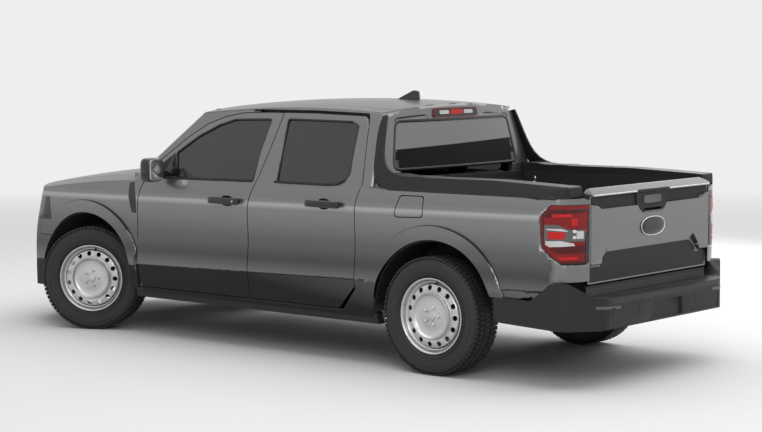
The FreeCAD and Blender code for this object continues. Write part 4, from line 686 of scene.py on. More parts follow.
def make_tyre(place):
    out = 1 if "left" in place else -1
    matrix = ring_frame(joints["wheel_" + place + "_spin"], out)
    body = spun("carcass", tyre_loop(), matrix)
    rows = []
    for offset, width, length, slant, phase, tilt in TREAD_ROWS:
        drop = 0.0042 if tilt else 0.0
        row = grown(TREAD, {"Blocks": TREAD_BLOCKS, "Tread radius": TYRE_R - drop, "Row offset": offset,
                            "Row width": width, "Block length": length, "Block height": GROOVE + 0.002,
                            "Slant": slant, "Phase": phase * 2 * math.pi / TREAD_BLOCKS, "Tilt": tilt,
                            "Rubber": RUBBER})
        row.transform(matrix)
        rows.append(row)
    mesh = joined("tyre_" + place, [body] + rows)
    piece = added("road_tyre_" + place, mesh, RUBBER, "wheel_" + place, "rubber", 40.0)
    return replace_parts(piece, "tyre_" + place)


PLACES = ["front_left", "front_right", "rear_left", "rear_right"]
tyres = [make_tyre(place) for place in PLACES]
print("tyre polygons", len(tyres[0].data.polygons))

# %% [markdown]
# Seals, handles and housings have one thing in common: a small ring of points that is carried
# along a line, growing or shrinking on its way. A loft of such rings is quick to write and easy to
# round off, and closes itself at both ends.

# %% Lofted skins
UP = Vector((0, 0, 1))
LEFT = Vector((1, 0, 0))
REARWARD = Vector((0, 1, 0))


def lofted(name, rings, closed=False):
    form = bmesh.new()
    rows = [[form.verts.new(point) for point in ring] for ring in rings]
    pairs = list(zip(rows, rows[1:] + rows[:1])) if closed else list(zip(rows, rows[1:]))
    for near, far in pairs:
        for i in range(len(near)):
            j = (i + 1) % len(near)
            form.faces.new((near[i], near[j], far[j], far[i]))
    if not closed:
        form.faces.new(rows[0][::-1])
        form.faces.new(rows[-1])
    bmesh.ops.recalc_face_normals(form, faces=form.faces)
    return mesh_of(form, name)


def oval(centre, across, up, width, height, power, count):
    """A ring round an oval; a higher power squares it off."""
    ring = []
    for i in range(count):
        angle = 2 * math.pi * (i + 0.5) / count
        a = math.copysign(abs(math.cos(angle)) ** (2 / power), math.cos(angle)) * width / 2
        b = math.copysign(abs(math.sin(angle)) ** (2 / power), math.sin(angle)) * height / 2
        ring.append(centre + across * a + up * b)
    return ring


def moulding(name, points, outward, width, depth, closed=False, power=4.0):
    """A strip with a rounded section that follows a line of points."""
    rings = []
    last = len(points) - 1
    for i, point in enumerate(points):
        before = points[i - 1] if closed or i else point
        after = points[(i + 1) % len(points)] if closed or i < last else point
        side = (after - before).normalized().cross(outward).normalized()
        rings.append(oval(point, side, outward, width, depth, power, 10))
    return lofted(name, rings, closed)


def softened(outline, count=5):
    """Points round a closed outline of (a, b, corner radius)."""
    points = []
    for i, (a, b, radius) in enumerate(outline):
        here = Vector((a, b))
        before = Vector(outline[i - 1][:2]) - here
        after = Vector(outline[(i + 1) % len(outline)][:2]) - here
        reach = radius / math.tan(before.angle(after) / 2) if radius else 0
        reach = min(reach, before.length * 0.45, after.length * 0.45)
        start = here + before.normalized() * reach
        end = here + after.normalized() * reach
        for k in range(count + 1 if radius else 1):
            t = k / count
            points.append(start * (1 - t) ** 2 + here * 2 * t * (1 - t) + end * t ** 2 if radius else here)
    return points


def flipped(mesh):
    """The same mesh on the other side of the truck."""
    twin = mesh.copy()
    twin.transform(Matrix.Scale(-1, 4, LEFT))
    twin.flip_normals()
    return twin


def on_both(name, mesh, finish, bodies, slot, degrees=35.0):
    """Adds a piece on the left and its twin on the right, each riding on its own body."""
    for side, form, body in (("left", mesh, bodies[0]), ("right", flipped(mesh), bodies[1])):
        added(name + "_" + side, form, finish, body, slot, degrees)


print("loft helpers ready")

# %% [markdown]
# Lenses, badges and bands lie on a surface that is already there. Each starts as a flat outline,
# seen as if the eye looked squarely at it, is cut into small faces and then dropped onto the solid
# behind it, so that it follows every bend and stands proud by a millimetre or so.

# %% Draped plates
DRAPE_START = 4
DRAPE_REACH = 4.2


def draped(name, under, heading, centre, outline, proud, thick, cell, rise=0.0):
    angle = math.radians(heading)
    climb = math.radians(rise)
    level = Vector((math.cos(angle), math.sin(angle), 0))
    look = level * math.cos(climb) + UP * math.sin(climb)
    over = UP * math.cos(climb) - level * math.sin(climb)
    across = Vector((-math.sin(angle), math.cos(angle), 0))
    corners = []
    faces = []
    for node in under.split():
        source = nodes[node].data
        faces += [[len(corners) + index for index in face.vertices] for face in source.polygons]
        corners += [vertex.co for vertex in source.vertices]
    target = BVHTree.FromPolygons(corners, faces)
    form = bmesh.new()
    form.faces.new([form.verts.new(centre + across * a + over * b) for a, b in outline])
    bmesh.ops.triangulate(form, faces=form.faces[:])
    for way, values in ((across, [a for a, b in outline]), (over, [b for a, b in outline])):
        place = min(values) + cell
        while place < max(values):
            parts = form.verts[:] + form.edges[:] + form.faces[:]
            bmesh.ops.bisect_plane(form, geom=parts, plane_co=centre + way * place, plane_no=way)
            place += cell
    for vertex in form.verts:
        hit = target.ray_cast(vertex.co + look * DRAPE_START, -look, DRAPE_REACH)[0]
        if hit is None:
            hit = target.find_nearest(vertex.co)[0]
        vertex.co = hit + look * (proud + thick)
    bmesh.ops.recalc_face_normals(form, faces=form.faces)
    if sum((face.normal for face in form.faces), Vector()).dot(look) < 0:
        bmesh.ops.reverse_faces(form, faces=form.faces)
    return plain_mesh(mesh_of(form, name), [("SOLIDIFY", {"thickness": thick, "offset": -1.0})])


def millimetres(*points):
    return [(a / 1000, b / 1000) for a, b in points]


print("drape ready")

# %% [markdown]
# The tail lamp is one lens with zones moulded in: red above and below with a bright rib in each, a
# clear band between them with a red capsule and two bulbs behind it, and a white reflector strip.
# A dark gasket runs round it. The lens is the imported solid, and its zones are draped on it.

# %% Tail lamps
LAMP = Vector((0.800, 2.330, 0))
LAMP_HEADING = 39.5
GASKET = 0.005
DARK_RED = glossy_plastic("deep_red_lens", (0.085, 0.001, 0.002, 1.0), 0.06, 0.2)
BRIGHT_RED = glossy_plastic("lit_red_lens", (0.60, 0.006, 0.008, 1.0), 0.06, 0.2)
SMOKE = glossy_plastic("smoked_lens", grey(0.10), 0.08, 1.0)


def lamp_zone(name, finish, proud, *points):
    mesh = draped(name, "tail_lamps", LAMP_HEADING, LAMP, millimetres(*points), proud / 1000, 0.0012, 0.015)
    on_both("lamp_" + name, mesh, finish, ("body", "body"), "lamp_red")


LAMP_ZONES = [
    ("upper_red", DARK_RED, 0.4, (-136, 1020), (-98, 1052), (112, 1054), (112, 1034), (-60, 1030),
     (-100, 1008), (-130, 1008)),
    ("upper_rib", BRIGHT_RED, 0.8, (-94, 1022), (-84, 1030), (24, 1028), (30, 1012), (-88, 1009)),
    ("upper_glow", BRIGHT_RED, 0.6, (20, 1000), (60, 1004), (60, 962), (28, 958)),
    ("clear_band", SMOKE, 0.4, (-132, 967), (-59, 967), (-20, 948), (11, 938), (112, 936), (114, 869),
     (-133, 869)),
    ("clear_line", LAMP_WHITE, 1.7, (-122, 944), (-36, 944), (2, 932), (2, 927), (-122, 937)),
    ("capsule", BRIGHT_RED, 1.8, (-114, 921), (-104, 927), (-22, 925), (-13, 918), (-13, 889), (-22, 884),
     (-104, 884), (-114, 890)),
    ("grey_block", LAMP_WHITE, 1.5, (54, 930), (98, 928), (100, 884), (56, 884)),
    ("bulb_928", BRIGHT, 2.8, (36, 937), (50, 937), (56, 928), (50, 919), (36, 919), (30, 928)),
    ("bulb_893", BRIGHT, 2.8, (36, 902), (50, 902), (56, 893), (50, 884), (36, 884), (30, 893)),
    ("reflector", LAMP_WHITE, 1.8, (-126, 872), (-40, 874), (40, 858), (44, 844), (-30, 840), (-104, 838),
     (-126, 850)),
    ("lower_red", DARK_RED, 0.6, (-86, 838), (114, 846), (126, 818), (110, 800), (-76, 802), (-100, 822)),
    ("lower_rib", BRIGHT_RED, 0.8, (-50, 780), (60, 782), (62, 764), (-40, 762)),
    ("lower_edge", DARK_RED, 0.5, (-60, 754), (126, 756), (128, 744), (-50, 740)),
]
for zone in LAMP_ZONES:
    lamp_zone(*zone)
gasket = millimetres((-138, 1026), (-102, 1050), (124, 1049), (130, 746), (-50, 738), (-136, 842))
gasket_lines = []
for i, (a, b) in enumerate(gasket):
    c, d = gasket[(i + 1) % len(gasket)]
    length = math.hypot(c - a, d - b)
    nx, nz = (d - b) / length * GASKET, -(c - a) / length * GASKET
    strip = [(a, b), (c, d), (c - nx, d - nz), (a - nx, b - nz)]
    gasket_lines.append(draped("gasket", "tail_lamps", LAMP_HEADING, LAMP, strip, 0.0012, 0.0012, 0.02))
on_both("lamp_gasket", joined("gasket", gasket_lines), GLOSS_BLACK, ("body", "body"), "gloss_black")

# %% [markdown]
# Inside the bright ring of each wheel is a bowl with a hub, five nuts and a small cap. A valve
# stands at the rim, and a brake disc sits behind the vents. All are turned shapes.

# %% Wheel hardware
NUT_CIRCLE = 0.054
NUT = [(0.0, 0.104), (0.0065, 0.1035), (0.0105, 0.099), (0.0112, 0.086), (0.0, 0.086)]
CAP = [(0.0, 0.098), (0.016, 0.097), (0.026, 0.0935), (0.0305, 0.087), (0.0312, 0.070), (0.0, 0.070)]
HUB_PAD = [(0.0, 0.0875), (0.070, 0.0875), (0.074, 0.0855), (0.074, 0.076), (0.0, 0.076)]
DISC = [(0.062, 0.004), (0.062, 0.024), (0.150, 0.024), (0.150, 0.004)]
VALVE = [(0.0, 0.100), (0.0035, 0.0995), (0.0040, 0.088), (0.0055, 0.084), (0.0065, 0.060), (0.0, 0.060)]


def wheel_hardware(place):
    out = 1 if "left" in place else -1
    matrix = ring_frame(joints["wheel_" + place + "_spin"], out)
    metal = [spun("hub_pad", HUB_PAD, matrix, 48), spun("cap", CAP, matrix, 32)]
    for i in range(5):
        angle = 2 * math.pi * i / 5 + 0.3
        shift = Matrix.Translation((0, NUT_CIRCLE * math.sin(angle), NUT_CIRCLE * math.cos(angle)))
        metal.append(spun("nut", NUT, matrix @ shift, 6))
    body = "wheel_" + place
    added("hub_and_nuts_" + place, joined("hub", metal), ENAMEL, body, "wheel_steel", 30.0)
    valve = spun("valve", VALVE, matrix @ Matrix.Translation((0, 0.024 * out, 0.2005)), 12)
    added("valve_" + place, valve, RUBBER, body, "rubber")
    added("brake_disc_" + place, spun("disc", DISC, matrix, 64), DISC_STEEL, body, "cast", 30.0)


for place in PLACES:
    wheel_hardware(place)
print("wheels dressed")

# %% [markdown]
# A thin black seal closes the gap between each side glass and its frame, and a thicker moulding
# wipes the glass along the belt. Both follow the outline of the window over the bowed side.

# %% Window seals
FRONT_WINDOW = [(-777, 1102, 16), (-86, 1114, 16), (-55, 1513, 14), (-373, 1503, 40), (-508, 1463, 0),
                (-668, 1386, 0), (-837, 1270, 20)]
REAR_WINDOW = [(127, 1116, 16), (584, 1117, 60), (693, 1148, 30), (718, 1195, 20), (693, 1490, 20),
               (633, 1514, 30), (95, 1517, 14)]
WINDOW_BELT = {"front": [(-905, 1101), (-777, 1103), (-420, 1109), (-88, 1115)],
               "rear": [(108, 1118), (380, 1119), (560, 1119), (640, 1128), (690, 1150)]}


def on_cabin(y, z, proud):
    return Vector((cabin_half(y, z) + proud, y, z)) / 1000


for kind, outline in (("front", FRONT_WINDOW), ("rear", REAR_WINDOW)):
    doors = ("door_%s_left" % kind, "door_%s_right" % kind)
    loop = [on_cabin(y, z, 0.5) for y, z in softened(outline)]
    outward = Vector((1, 0, 0.3)).normalized()
    seal = moulding("seal", loop, outward, 0.011, 0.006, True)
    on_both("window_seal_" + kind, seal, RUBBER, doors, "rubber")
    belt = moulding("belt", [on_cabin(y, z, 3) for y, z in WINDOW_BELT[kind]], outward, 0.016, 0.010)
    on_both("belt_moulding_" + kind, belt, BLACK_PLASTIC, doors, "black_plastic")
print("seals on four doors")

# %% [markdown]
# Each door handle is a strap that bows out over a round cup, with room for the fingers behind it. The cup is a
# gloss black dish: painted shade for the shaded recess of body colour.
# The driver's strap ends in a lock cylinder. The strap is a loft of rounded rings along the door.

# %% Door handles
HANDLES = {"front": (-0.431, -0.158, 0.9775, -0.285, 0.114), "rear": (0.423, 0.704, 1.001, 0.557, 0.104)}


def on_flank(y, z, proud):
    return Vector((side_half(y * 1000, z * 1000) / 1000 + proud, y, z))


def strap(y0, y1, z):
    rings = []
    for k in range(17):
        t = k / 16
        end = min(1.0, min(t, 1 - t) / 0.06 + 0.35) ** 0.6
        bow = 0.0255 + 0.003 * math.sin(math.pi * t)
        rings.append(oval(on_flank(y0 + (y1 - y0) * t, z, bow), UP, LEFT, 0.045 * end, 0.024 * end, 4.0, 16))
    return lofted("strap", rings)


# The gloss black dish is painted shade: it stands for the shade in the body-colour recess behind the strap.
def cup(y, z, width, height):
    rings = []
    for size, proud in ((1.0, -0.002), (1.0, 0.0015), (0.94, 0.0035), (0.86, 0.0020), (0.5, 0.0008)):
        ring = oval(Vector((0, y, z)), REARWARD, UP, width * size, height * size, 2.4, 32)
        rings.append([on_flank(p.y, p.z, proud) for p in ring])
    return lofted("cup", rings)


for kind, (y0, y1, z, middle, width) in HANDLES.items():
    doors = ("door_%s_left" % kind, "door_%s_right" % kind)
    on_both("handle_strap_" + kind, strap(y0, y1, z), GLOSS_BLACK, doors, "black_plastic", 50.0)
    on_both("handle_cup_" + kind, cup(middle, z, width, 0.072), GLOSS_BLACK, doors, "black_plastic", 50.0)
lock_place = Matrix.Translation(on_flank(-0.205, 0.978, 0.036))
barrel = [(0.0, 0.004), (0.0055, 0.0035), (0.0065, 0.0015), (0.0065, -0.004), (0.0, -0.004)]
added("door_lock", spun("lock", barrel, lock_place, 20), BRIGHT, "door_front_left", "wheel_steel")
print("handles on four doors")

# %% [markdown]
# The mirror is a rounded black housing on a foot, with a silvered glass that faces rearwards, and
# a black sail fills the corner of the window behind it.

# %% Mirrors
SILVERED = brushed("silvered_mirror", 0.62, 0.16, 6.0)
FRONT_DOORS = ("door_front_left", "door_front_right")
MIRROR_HEIGHT = 1.160
HOUSING = [(0.926, 0.72), (0.932, 0.90), (0.950, 0.98), (1.000, 1.0), (1.045, 0.97), (1.062, 0.88),
           (1.070, 0.66)]
rings = [oval(Vector((x, -0.890, MIRROR_HEIGHT)), REARWARD, UP, 0.098 * k, 0.164 * k, 4.0, 24)
         for x, k in HOUSING]
on_both("mirror_housing", lofted("housing", rings), GLOSS_BLACK, FRONT_DOORS, "black_plastic", 60.0)
rings = [oval(Vector((0.998, y, MIRROR_HEIGHT)), LEFT, UP, 0.122 * k, 0.140 * k, 5.0, 32)
         for y, k in ((-0.850, 1.0), (-0.8395, 1.0), (-0.8385, 0.97))]
on_both("mirror_glass", lofted("mirror", rings), SILVERED, FRONT_DOORS, "gloss_black")
SAIL = [(-905, 1112, 4), (-700, 1116, 6), (-722, 1140, 30), (-762, 1163, 40), (-812, 1176, 30),
        (-842, 1172, 10), (-846, 1262, 4), (-868, 1246, 4)]
rings = [[on_cabin(y, z, proud) for y, z in softened(SAIL, 4)] for proud in (-2, 6.5)]
on_both("mirror_sail", lofted("sail", rings), GLOSS_BLACK, FRONT_DOORS, "black_plastic", 30.0)
print("mirrors ready")

# %% [markdown]
# The tailgate has a black band under its lip that is painted shade for the undercut there, a set-back panel low
# down whose shade is painted as a near-black plate, a crease at each end and a bare oval badge. Bright strips
# along the top edge of the lip and a pale strip under the handle are painted highlights. The badge is a domed
# plate with a bright rim, and carries no sign of any kind.

# %% Tailgate trim
SHADED_PANEL = painted_steel("shaded_lower_panel", 0.020, 0.42, 0.4)
# Pale plastic for the grip, also used for painted highlights on the handle's lip and on the bumper corners.
PALE_GRIP_AND_HIGHLIGHT = moulded("pale_grip_and_painted_highlight", 0.12, 0.40)
GATE_FACE = Vector((0, 2.409, 0))
BADGE_HEIGHT = 0.910
SHADE_BAND_OUTLINE = [(-188, 1118), (-188, 1044), (-553, 1044), (-611, 1073), (-652, 1075), (-652, 1118)]
# The black band under the lip is painted shade for the undercut there.
for side, sign in (("left", 1), ("right", -1)):
    band = millimetres(*[(x * sign, z) for x, z in SHADE_BAND_OUTLINE])
    plate = draped("band", "tailgate", 90, Vector(), band[::sign], 0.0006, 0.001, 0.03)
    added("tailgate_shade_band_" + side, plate, BLACK_PLASTIC, "tailgate", "black_plastic")
# The near-black plate on the set-back lower panel is painted shade.
floor_line = millimetres((-652, 618), (652, 618), (652, 706), (538, 706), (528, 746), (468, 787), (-468, 787),
                         (-528, 746), (-538, 706), (-652, 706))
added("tailgate_lower_panel", draped("panel", "tailgate", 90, Vector(), floor_line, 0.0006, 0.001, 0.03),
      SHADED_PANEL, "tailgate", "grey_plastic")
crease = [Vector((x, 2.4095, 0.7285)) for x in (0.556, 0.600, 0.663)]
for side, points in (("left", crease), ("right", [Vector((-p.x, p.y, p.z)) for p in crease])):
    strip = moulding("crease", points, (REARWARD + UP).normalized(), 0.008, 0.004)
    added("tailgate_crease_" + side, strip, PAINT, "tailgate", "paint")
rim_points = oval(GATE_FACE + Vector((0, 0.006, BADGE_HEIGHT)), LEFT, UP, 0.262, 0.112, 2.3, 56)
badge = [oval(GATE_FACE + Vector((0, y, BADGE_HEIGHT)), LEFT, UP, 0.266 * k, 0.116 * k, 2.3, 56)
         for y, k in ((-0.001, 1.0), (0.005, 1.0), (0.0075, 0.93), (0.0095, 0.6), (0.0100, 0.2))]
added("badge_plate", lofted("badge", badge), GLOSS_BLACK, "tailgate", "gloss_black", 40.0)
rim = moulding("rim", rim_points, REARWARD, 0.006, 0.005, True, 2.2)
added("badge_rim", rim, BRIGHT, "tailgate", "wheel_steel", 60.0)
grip = [oval(GATE_FACE + Vector((0, y, 1.074)), LEFT, UP, 0.196 * k, 0.050 * k, 6.0, 40)
        for y, k in ((-0.004, 1.0), (0.0015, 1.0), (0.003, 0.96), (0.001, 0.88))]
added("tailgate_grip", lofted("grip", grip), PALE_GRIP_AND_HIGHLIGHT, "tailgate", "black_plastic", 40.0)
# The pale strip along the foot of the handle housing is a painted highlight.
finger_lip_highlight_line = [Vector((x / 1000, 2.412, 0.9995)) for x in (-100, 0, 100)]
lip = moulding("lip", finger_lip_highlight_line, REARWARD, 0.010, 0.010)
added("tailgate_lip_painted_highlight", lip, PALE_GRIP_AND_HIGHLIGHT, "tailgate", "black_plastic")
# The bright strips along the top edge of the lip are painted highlights.
top_edge_highlight_line = [Vector((x / 1000, 2.4165, 1.1285)) for x in (-655, -186)]
for side, points in (("right", top_edge_highlight_line), ("left", [Vector((-p.x, p.y, p.z)) for p in top_edge_highlight_line])):
    edge = moulding("edge", points, REARWARD, 0.007, 0.005)
    added("tailgate_lip_highlight_" + side, edge, BRIGHT, "tailgate", "wheel_steel")
print("tailgate trimmed")

# %% [markdown]
# The rear bumper has a pale strip at each cut corner, a painted highlight on the chamfer there, and ribs on its
# step. The high brake lamp is a black housing with a red lens between two clear ones. Both are draped on their
# solids.

# %% Bumper and high lamp
# The pale strip at each corner is a painted highlight on the bumper's chamfer.
reflector = millimetres((-96, 492), (96, 484), (96, 468), (-96, 474))
for side, heading in (("left", 70), ("right", 110)):
    across = 1 if side == "left" else -1
    middle = Vector((0.600 * across, 2.45, 0))
    plate = draped("reflector", "rear_bumper", heading, middle, reflector, 0.0005, 0.0015, 0.03)
    added("bumper_chamfer_highlight_" + side, plate, PALE_GRIP_AND_HIGHLIGHT, "body", "lamp_red")
ribs = []
for i in range(5):
    y = 2.428 + 0.015 * i
    half = 0.52 - 0.006 * i
    ribs.append(moulding("rib", [Vector((x, y, 0.5385)) for x in (-half, half)], UP, 0.006, 0.004))
added("bumper_step_ribs", joined("ribs", ribs), BUMPER_PLASTIC, "body", "grey_plastic")
HIGH_LAMP = [("high_lamp_housing", GLOSS_BLACK, "gloss_black", -228, 228, 1539, 1587, 0.4),
             ("high_lamp_clear_left", LAMP_WHITE, "lamp_clear", -176, -80, 1552, 1576, 1.6),
             ("high_lamp_red", BRIGHT_RED, "lamp_red", -66, 66, 1549, 1579, 1.8),
             ("high_lamp_clear_right", LAMP_WHITE, "lamp_clear", 80, 176, 1552, 1576, 1.6)]
LENS_BEVEL = 6
for name, finish, slot, x0, x1, z0, z1, proud in HIGH_LAMP:
    left, right, low, high = x0 + LENS_BEVEL, x1 - LENS_BEVEL, z0 + LENS_BEVEL, z1 - LENS_BEVEL
    outline = millimetres((x0, low), (left, z0), (right, z0), (x1, low), (x1, high), (right, z1),
                          (left, z1), (x0, high))
    plate = draped("plate", "high_brake_lamp", 90, Vector(), outline, proud / 1000, 0.001, 0.03)
    added(name, plate, finish, "body", slot)
print("bumper and high lamp ready")

# %% [markdown]
# The rear window and the windshield are bonded in with a black border. The border is a flat strip
# that follows the bowed glass, and the wipers lie on the windshield's foot.

# %% Screens
def backlight_y(x, z):
    return 911 + 0.153 * (1525 - z) - 7.0e-5 * x ** 2


def windshield_y(x, z):
    return -1300 + 1.20 * (z - 1110) + 1.9e-4 * x ** 2


LONGEST_RUN = 60.0


def dense(points):
    """Adds points along the straight runs of a closed outline."""
    full = []
    for i, here in enumerate(points):
        ahead = points[(i + 1) % len(points)]
        count = max(1, int((ahead - here).length / LONGEST_RUN))
        full += [here.lerp(ahead, k / count) for k in range(count)]
    return full


BACKLIGHT = [(-660, 1214, 50), (660, 1214, 50), (592, 1518, 60), (-592, 1518, 60)]
WINDSHIELD = [(-758, 1112, 20), (758, 1112, 20), (588, 1548, 60), (-588, 1548, 60)]
loop = [Vector((x, backlight_y(x, z) - 1, z)) / 1000 for x, z in dense(softened(BACKLIGHT))]
border = moulding("border", loop, REARWARD, 0.020, 0.006, True)
added("rear_window_border", border, GLOSS_BLACK, "body", "gloss_black")


def glare_height(x):
    """Height of the slanting line above which a pale plate paints the rear window's reflection of the pale
    surroundings.
    """
    return 1.339 + (0.704 - x) * 0.02756


# Below the slanting line a near-black plate on the rear window is painted shade for the dark cabin behind the
# glass; above it a pale plate is a painted reflection of the pale surroundings.
shade_line = [(-0.640, glare_height(0.640)), (-0.652, 1.226), (0.652, 1.226), (0.640, glare_height(-0.640))]
glare_line = [(-0.6336, glare_height(0.640)), (0.6336, glare_height(-0.640)), (0.585, 1.508), (-0.585, 1.508)]
for name, line, finish, slot in (("shade", shade_line, DARK_SHADE, "gloss_black"),
                                 ("sheen", glare_line, SHEEN, "tinted_glass")):
    plate = draped(name, "cab_glass", 90, Vector(), line, 0.0004, 0.001, 0.05)
    added("rear_window_" + name, plate, finish, "body", slot)
loop = [Vector((x, windshield_y(x, z) + 1, z)) / 1000 for x, z in dense(softened(WINDSHIELD))]
FORWARD = Vector((0, -0.64, 0.77))
border = moulding("border", loop, FORWARD, 0.026, 0.006, True)
added("windshield_border", border, GLOSS_BLACK, "body", "gloss_black")


def wiper(x0, x1, z0, z1):
    ends = [Vector((x, windshield_y(x, z) - 14, z)) / 1000 for x, z in ((x0, z0), (x1, z1))]
    blade = moulding("blade", [ends[0].lerp(ends[1], t / 8) for t in range(9)], FORWARD, 0.010, 0.022)
    pivot = Vector((x0 + 20, windshield_y(x0, z0) - 60, z0 - 42)) / 1000
    elbow = pivot.lerp(ends[1], 0.3) + FORWARD * 0.02
    hook = ends[0].lerp(ends[1], 0.55) + FORWARD * 0.012
    return joined("wiper", [blade, moulding("arm", [pivot, elbow, hook], FORWARD, 0.014, 0.010)])


wipers = joined("wipers", [wiper(590, 20, 1136, 1150), wiper(-60, -610, 1142, 1150)])
added("wipers", wipers, BLACK_PLASTIC, "body", "black_plastic")
HEADER = [(-0.600, 0.440), (0.600, 0.440), (0.600, 0.640), (-0.600, 0.640)]
header = draped("header", "cab_frame roof", 90, Vector(), HEADER, 0.0003, 0.0006, 0.016, 45.0)
added("rear_header_skin", header, PAINT, "body", "paint", 60.0)
print("screens bordered")

# %% [markdown]
# The load bed has a tie-down at each corner: a pressed plate with a ring. The bed is dark, so the
# bright plates catch the eye.

# %% Tie-downs
BED_WALL = 0.6765
TIE_DOWNS = [(1.062, 1.080), (2.270, 1.080), (1.10, 0.760), (2.25, 0.760)]


def tie_down(y, z):
    plate = [oval(Vector((BED_WALL - d, y, z)), REARWARD, UP, 0.030 * k, 0.072 * k, 5.0, 20)
             for d, k in ((-0.001, 1), (0.004, 1), (0.006, 0.9))]
    centre = Vector((BED_WALL - 0.014, y, z - 0.022))
    ring = [centre + Vector((0, 0.018 * math.sin(a), 0.022 * math.cos(a)))
            for a in [k * math.pi / 8 for k in range(16)]]
    return joined("tie_down", [lofted("plate", plate), moulding("ring", ring, LEFT, 0.006, 0.006, True, 2.0)])


hardware = joined("tie_downs", [tie_down(y, z) for y, z in TIE_DOWNS])
on_both("bed_tie_downs", hardware, BRIGHT, ("body", "body"), "wheel_steel")
print("tie-downs ready")

# %% [markdown]
# The grille is a stack of slats that bend with the nose. One Geometry Nodes tree makes them all
# from a flat strip: it bends the strip by the rule of the nose, gives it depth and stacks it.

# %% Grille slats
def slat_tree():
    lengths = ("Pitch", "Lowest", "Width", "Height", "Depth", "Nose")
    rule = Rule("grille_slats", ("Slats",), lengths, "Plastic")
    add, maths, given = rule.add, rule.maths, rule.given
    flat = {"Size X": given["Width"], "Size Y": given["Height"], "Vertices X": 33, "Vertices Y": 2}
    strip = add("GeometryNodeMeshGrid", flat)[0]
    across, high = add("ShaderNodeSeparateXYZ", {0: add("GeometryNodeInputPosition", {})})[:2]
    bend = maths("MULTIPLY", maths("POWER", maths("DIVIDE", maths("ABSOLUTE", across), 0.905), 3.2), 0.360)
    upright = add("ShaderNodeCombineXYZ", {0: across, 1: bend, 2: high})
    bent = add("GeometryNodeSetPosition", {"Geometry": strip, "Position": upright})
    pull = {"Mesh": bent, "Offset": (0, 1, 0), "Offset Scale": given["Depth"], "Individual": False}
    deep = add("GeometryNodeExtrudeMesh", pull)[0]
    line = add("GeometryNodeMeshLine", {"Count": given["Slats"]})
    index = add("GeometryNodeInputIndex", {})
    height = maths("ADD", given["Lowest"], maths("MULTIPLY", index, given["Pitch"]))
    lean = maths("DIVIDE", maths("SUBTRACT", height, 0.6), 0.4)
    back = maths("ADD", given["Nose"], maths("MULTIPLY", maths("POWER", lean, 1.5), 0.095))
    spots = add("ShaderNodeCombineXYZ", {1: back, 2: height})
    stack = add("GeometryNodeSetPosition", {"Geometry": line, "Position": spots})
    return rule.closed(add("GeometryNodeInstanceOnPoints", {"Points": stack, "Instance": deep}))


slats = grown(slat_tree(), {"Slats": 7, "Pitch": 0.027, "Lowest": 0.722, "Width": 0.92, "Height": 0.011,
                            "Depth": 0.018, "Nose": -2.549, "Plastic": BLACK_PLASTIC})
added("grille_slats", slats, BLACK_PLASTIC, "body", "black_plastic", 30.0)
print("slats", len(slats.polygons), "faces")

# %% [markdown]
# Seats are foam under cloth. Each cushion starts as a slightly smaller shape, is remeshed, and is
# blown up by a short cloth simulation, which crowns its faces and draws its corners in. Seams are
# pressed in afterwards, and one subdivision smooths the whole.

# %% Stuffed pieces
CLOTH_STEPS = 20
CLOTH_PRESSURE = 4.0
SEAM_WIDTH = 0.007
SEAM_DEPTH = 0.008


def stuffed(name, outline, x0, x1, voxel, cap, channels=(), seams=()):
    """A padded form: an outline in (y, z, radius) mm between two x values, swelled by pressure."""
    middle = (x0 + x1) / 2
    rings = []
    for x in (x0, x0 + 14, x1 - 14, x1):
        shrink = 0.90 if x in (x0, x1) else 1.0
        points = softened(outline, 4)
        centre = sum(points, Vector((0, 0))) / len(points)
        pulled = [[c + (value - c) * shrink for value, c in zip(point, centre)] for point in points]
        rings.append([Vector((x, y, z)) / 1000 for y, z in pulled])
    start = plain_mesh(lofted(name, rings), [("REMESH", {"mode": "VOXEL", "voxel_size": voxel})])
    final = start
    host = scene_object(name + "_host", start.copy())
    cloth = host.modifiers.new("cloth", "CLOTH")
    cloth.settings.use_pressure = True
    cloth.settings.uniform_pressure_force = CLOTH_PRESSURE
    cloth.settings.effector_weights.gravity = 0.0
    cloth.point_cache.frame_start = 1
    cloth.point_cache.frame_end = CLOTH_STEPS
    for step in range(1, CLOTH_STEPS + 1):
        bpy.context.scene.frame_set(step)
    final = settled(host)
    bpy.context.scene.frame_set(1)
    for now, before in zip(final.vertices, start.vertices):
        move = now.co - before.co
        if move.length > cap:
            now.co = before.co + move.normalized() * cap
    final = plain_mesh(final, [("SUBSURF", {"levels": 1, "render_levels": 1})])
    outward = [vertex.normal.copy() for vertex in final.vertices]
    for vertex, away in zip(final.vertices, outward):
        gaps = [vertex.co.x - (middle + x) / 1000 for x in channels]
        gaps += [vertex.co.y * a + vertex.co.z * b - c for a, b, c in seams]
        near = max([math.exp(-(gap / SEAM_WIDTH) ** 2) for gap in gaps] + [0.0])
        vertex.co -= away * SEAM_DEPTH * near
    return final


def shifted(mesh, x):
    copy = mesh.copy()
    copy.transform(Matrix.Translation((x, 0, 0)))
    return copy


def soft(name, mesh, node=None):
    piece = added(name, mesh, SEAT_CLOTH, "body", "trim_fabric", 60.0)
    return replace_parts(piece, node) if node else piece


def placed(y0, outline):
    return [(y0 + y, z, radius) for y, z, radius in outline]


